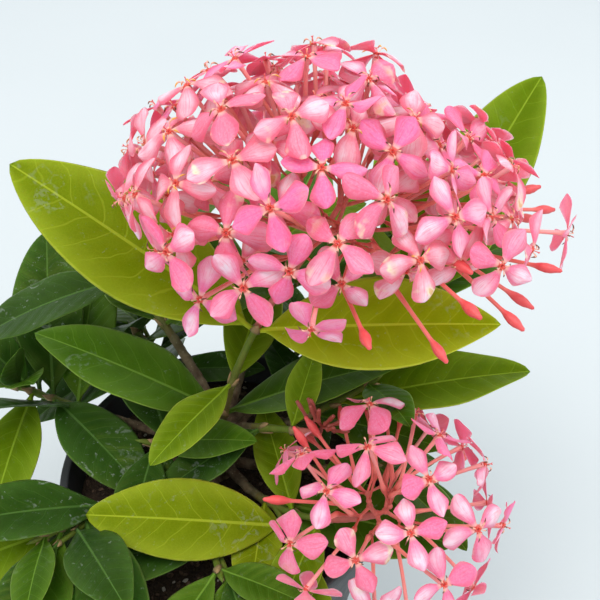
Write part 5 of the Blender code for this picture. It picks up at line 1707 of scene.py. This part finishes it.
# bloom: chalky specks, and the thin pale outlines that dried drops leave
specks = times(blade, between(blade, clouds(blade, spot, 420.0, 5.0, 0.7), 0.60, 0.72), patches)
drops = reckon(blade, "ABSOLUTE", reckon(blade, "SUBTRACT", clouds(blade, spot, 62.0, 2.5), 0.55))
outline = times(blade, between(blade, drops, 0.030, 0.002, 0.0, 0.6),
                between(blade, clouds(blade, spot, 22.0), 0.52, 0.66))
outline = times(blade, outline, between(blade, grain, 0.25, 0.75))
chalk = times(blade, reckon(blade, "MAXIMUM", specks, outline), given["Bloom"])
colour = mixed(blade, chalk, colour, CHALK)
height = reckon(blade, "SUBTRACT", times(blade, cushion_and_painted_shade, 0.55), times(blade, side_vein, 0.35))
height = reckon(blade, "ADD", height, times(blade, grain, 0.18))
duller = reckon(blade, "ADD", times(blade, chalk, 0.4), times(blade, below, 0.25))
rough = reckon(blade, "ADD", reckon(blade, "ADD", given["Gloss"], times(blade, grain, 0.10)), duller)
for label, socket in (("Colour", colour), ("Height", height), ("Roughness", rough)):
    blade.links.new(socket, out[label])

# Each green: blade, vein, edge, back, strength of the veins, bloom and gloss
GREENS = {
    # lime: a lit copy of the yellow-green, brighter as painted light for a leaf in the head's shade
    "lime": ((0.262, 0.320, 0.0015, 1.0), (0.42, 0.47, 0.025, 1.0), (0.62, 0.66, 0.06, 1.0),
             (0.28, 0.33, 0.03, 1.0), 0.25, 0.26, 0.38),
    "spring": ((0.126, 0.176, 0.0012, 1.0), (0.27, 0.33, 0.018, 1.0), (0.44, 0.50, 0.04, 1.0),
               (0.22, 0.27, 0.03, 1.0), 0.33, 0.24, 0.38),
    "fresh": ((0.092, 0.158, 0.0015, 1.0), (0.20, 0.30, 0.018, 1.0), (0.33, 0.42, 0.04, 1.0),
              (0.17, 0.24, 0.03, 1.0), 0.22, 0.14, 0.36),
    "mid": ((0.035, 0.090, 0.0030, 1.0), (0.11, 0.21, 0.025, 1.0), (0.16, 0.26, 0.04, 1.0),
            (0.10, 0.18, 0.03, 1.0), 0.20, 0.24, 0.34),
    "deep": ((0.017, 0.051, 0.0050, 1.0), (0.060, 0.130, 0.025, 1.0), (0.08, 0.15, 0.03, 1.0),
             (0.06, 0.12, 0.03, 1.0), 0.12, 0.55, 0.32),
}
leaf_pieces = {}
for green, (blade_colour, vein_colour, edge_colour, back_colour, strength, bloom, gloss) in GREENS.items():
    leaf_material, tree, shader = finish(f"leaf_{green}", gloss, {
        "Subsurface Weight": 0.12, "Subsurface Scale": 0.0015, "Subsurface Radius": (0.5, 1.0, 0.15),
        "Specular IOR Level": 0.17, "Specular Tint": (0.80, 1.0, 0.15, 1.0)})
    surface = node(tree, "ShaderNodeGroup", {
        "Blade": blade_colour, "Vein": vein_colour, "Edge": edge_colour, "Back": back_colour,
        "Vein strength": strength, "Bloom": bloom, "Gloss": gloss}, node_tree=LEAF_SURFACE)
    feed(tree, shader, surface.outputs["Colour"], surface.outputs["Roughness"], surface.outputs["Height"],
         0.0004, 0.5)
    mine = [leaf for leaf in leaves if green_of(leaf) == green]
    bunch = Bunch("across", "under", "tint", "leaf_uv")
    for leaf in mine:
        fine_leaf(leaf, bunch, random.Random(leaf["number"] + 7 * len(leaf["name"])).random())
    leaf_pieces[green] = bunch.build(f"leaves_{green}", leaf_material, uv="leaf_uv")
    dress(leaf_pieces[green], "foliage", *sorted({f"leaves_{leaf['name']}" for leaf in mine}))

# Shoots: round green stems, swollen where each pair of leaves sits, with a small bud at the tip
SHOOT_STEPS = 56
SHOOT_SIDES = 14
NODE_SWELL = 0.00055
NODE_SWELL_LENGTH = 0.0016
TWIG_STEPS = 18
TWIG_SIDES = 12
TWIG_SAG = 0.0012
SHOOT_BROWN = (0.105, 0.075, 0.030, 1.0)
SHOOT_GREEN = (0.085, 0.135, 0.012, 1.0)
SHOOT_FLECK = (0.17, 0.17, 0.035, 1.0)

shoot_bunch = Bunch("along")
bases = {}
for leaf in leaves:
    bases.setdefault(leaf["name"], []).append(leaf["base"])
for name, axis in AXES.items():
    low, high = shoot_span(axis)
    low -= 2 * axis_gap(axis)
    line = axis_points(axis, low, high, SHOOT_STEPS + 1)
    radii = []
    for i, centre in enumerate(line):
        nearest = min([(centre - base).length for base in bases.get(name, [])] or [1.0])
        swelling = NODE_SWELL * math.exp(-((nearest / NODE_SWELL_LENGTH) ** 2))
        radii.append(SHOOT_RADIUS + (SHOOT_TIP_RADIUS - SHOOT_RADIUS) * i / SHOOT_STEPS + swelling)
    bud_tip = None
    if axis["end"] == 1.0:
        way, tip = axis_direction(axis, 1.0), axis_point(axis, 1.0)
        line += [tip + way * 0.0012, tip + way * 0.0028]
        radii += [0.0012, 0.0009]
        bud_tip = tip + way * SHOOT_BUD_LENGTH
    greener = 0.25 if axis["split"] else 0.0
    shoot_bunch.tube(line, radii, SHOOT_SIDES, tip=bud_tip,
                     along=lambda ring: ring / (SHOOT_STEPS + 1) + greener)
for name, foot, tip in side_twigs:
    line = bent(foot, foot.lerp(tip, 0.5) - UP * TWIG_SAG, tip, TWIG_STEPS)
    radii = [TWIG_RADIUS + (TWIG_TIP_RADIUS - TWIG_RADIUS) * i / TWIG_STEPS for i in range(TWIG_STEPS + 1)]
    shoot_bunch.tube(line, radii, TWIG_SIDES, tip=tip + (tip - foot) * 0.12, along=0.9)

shoot_material, tree, shader = finish("green_shoot", 0.5, {
    "Subsurface Weight": 0.08, "Subsurface Scale": 0.001, "Specular IOR Level": 0.2})
patches, grain = mottle(tree, 300.0, (1.0, 1.0, 0.5), 5.0)
colour = mixed(tree, between(tree, point_value(tree, "along"), 0.15, 0.75), SHOOT_BROWN, SHOOT_GREEN)
colour = mixed(tree, times(tree, patches, 0.40), colour, SHOOT_FLECK)
feed(tree, shader, colour, between(tree, grain, 0.0, 1.0, 0.42, 0.62), grain, 0.00015, 0.5)
shoots = shoot_bunch.build("green_shoots", shoot_material)
dress(shoots, "foliage", *(f"leaves_{name}" for name in AXES))

# Stipules: a dry tan scale on each side of the stem between the two leaf stalks of a pair
SCALE_HEIGHT = 0.0044
SCALE_ON_SHOOT = 1.25
SCALE_ON_TWIG = 0.74
SCALE_GREEN = (0.17, 0.145, 0.05, 1.0)
SCALE_TAN = (0.40, 0.25, 0.11, 1.0)
SCALE_BROWN = (0.22, 0.11, 0.05, 1.0)

rings = []
for share, width in ((0.0, 1.0), (0.3, 0.85), (0.7, 0.42)):
    x, z = 0.0022 * (0.55 + 0.25 * share), 0.0040 * share
    wide = 0.0019 * width
    rings.append([Vector((x + out_by, y, z)) for out_by, y in (
        (-0.0006, 0.0), (-0.0004, -wide), (0.0005, -wide * 0.5), (0.0004, wide * 0.5), (-0.0004, wide))])
rings.append([Vector((0.0021, 0.0, SCALE_HEIGHT))])
points, faces = ring_faces(rings)
scale_bunch = Bunch("reach")
scale_bunch.add(points, faces, reach=[min(1.0, p.z / SCALE_HEIGHT) for p in points])
places, seen = [], set()
for leaf in leaves:
    spot = tuple(round(v, 5) for v in leaf["base"])
    if spot in seen:
        continue
    seen.add(spot)
    axis = AXES[leaf["name"]]
    on_twig = leaf["number"] >= 2 * len(axis["sizes"])
    nearest = min((i / 60 for i in range(61)), key=lambda s: (axis_point(axis, s) - leaf["base"]).length)
    stem = axis_direction(axis, nearest)
    if on_twig:
        stem = next((tip - foot).normalized() for name, foot, tip in side_twigs if name == leaf["name"])
    outward = across(stem, leaf["ahead"])
    for sign in (1, -1):
        away = stem.cross(outward) * sign
        size = SCALE_ON_TWIG if on_twig else SCALE_ON_SHOOT
        places.append((leaf["base"], (away, stem.cross(away), stem), size, 0, 0.5))
scale_material, tree, shader = finish("dry_scale", 0.8)
patches, grain = mottle(tree, 700.0, fine=3.0)
colour = mixed(tree, point_value(tree, "reach"), SCALE_GREEN, SCALE_TAN)
colour = mixed(tree, times(tree, patches, 0.4), colour, SCALE_BROWN)
feed(tree, shader, colour, None, grain, 0.0002, 0.6)
scales = set_on_points("dry_scales", [scale_bunch], places, scale_material)
dress(scales, "foliage", *(f"leaves_{name}" for name in AXES))

bpy.context.scene.collection.children.unlink(tools)
bpy.data.collections.remove(tools)
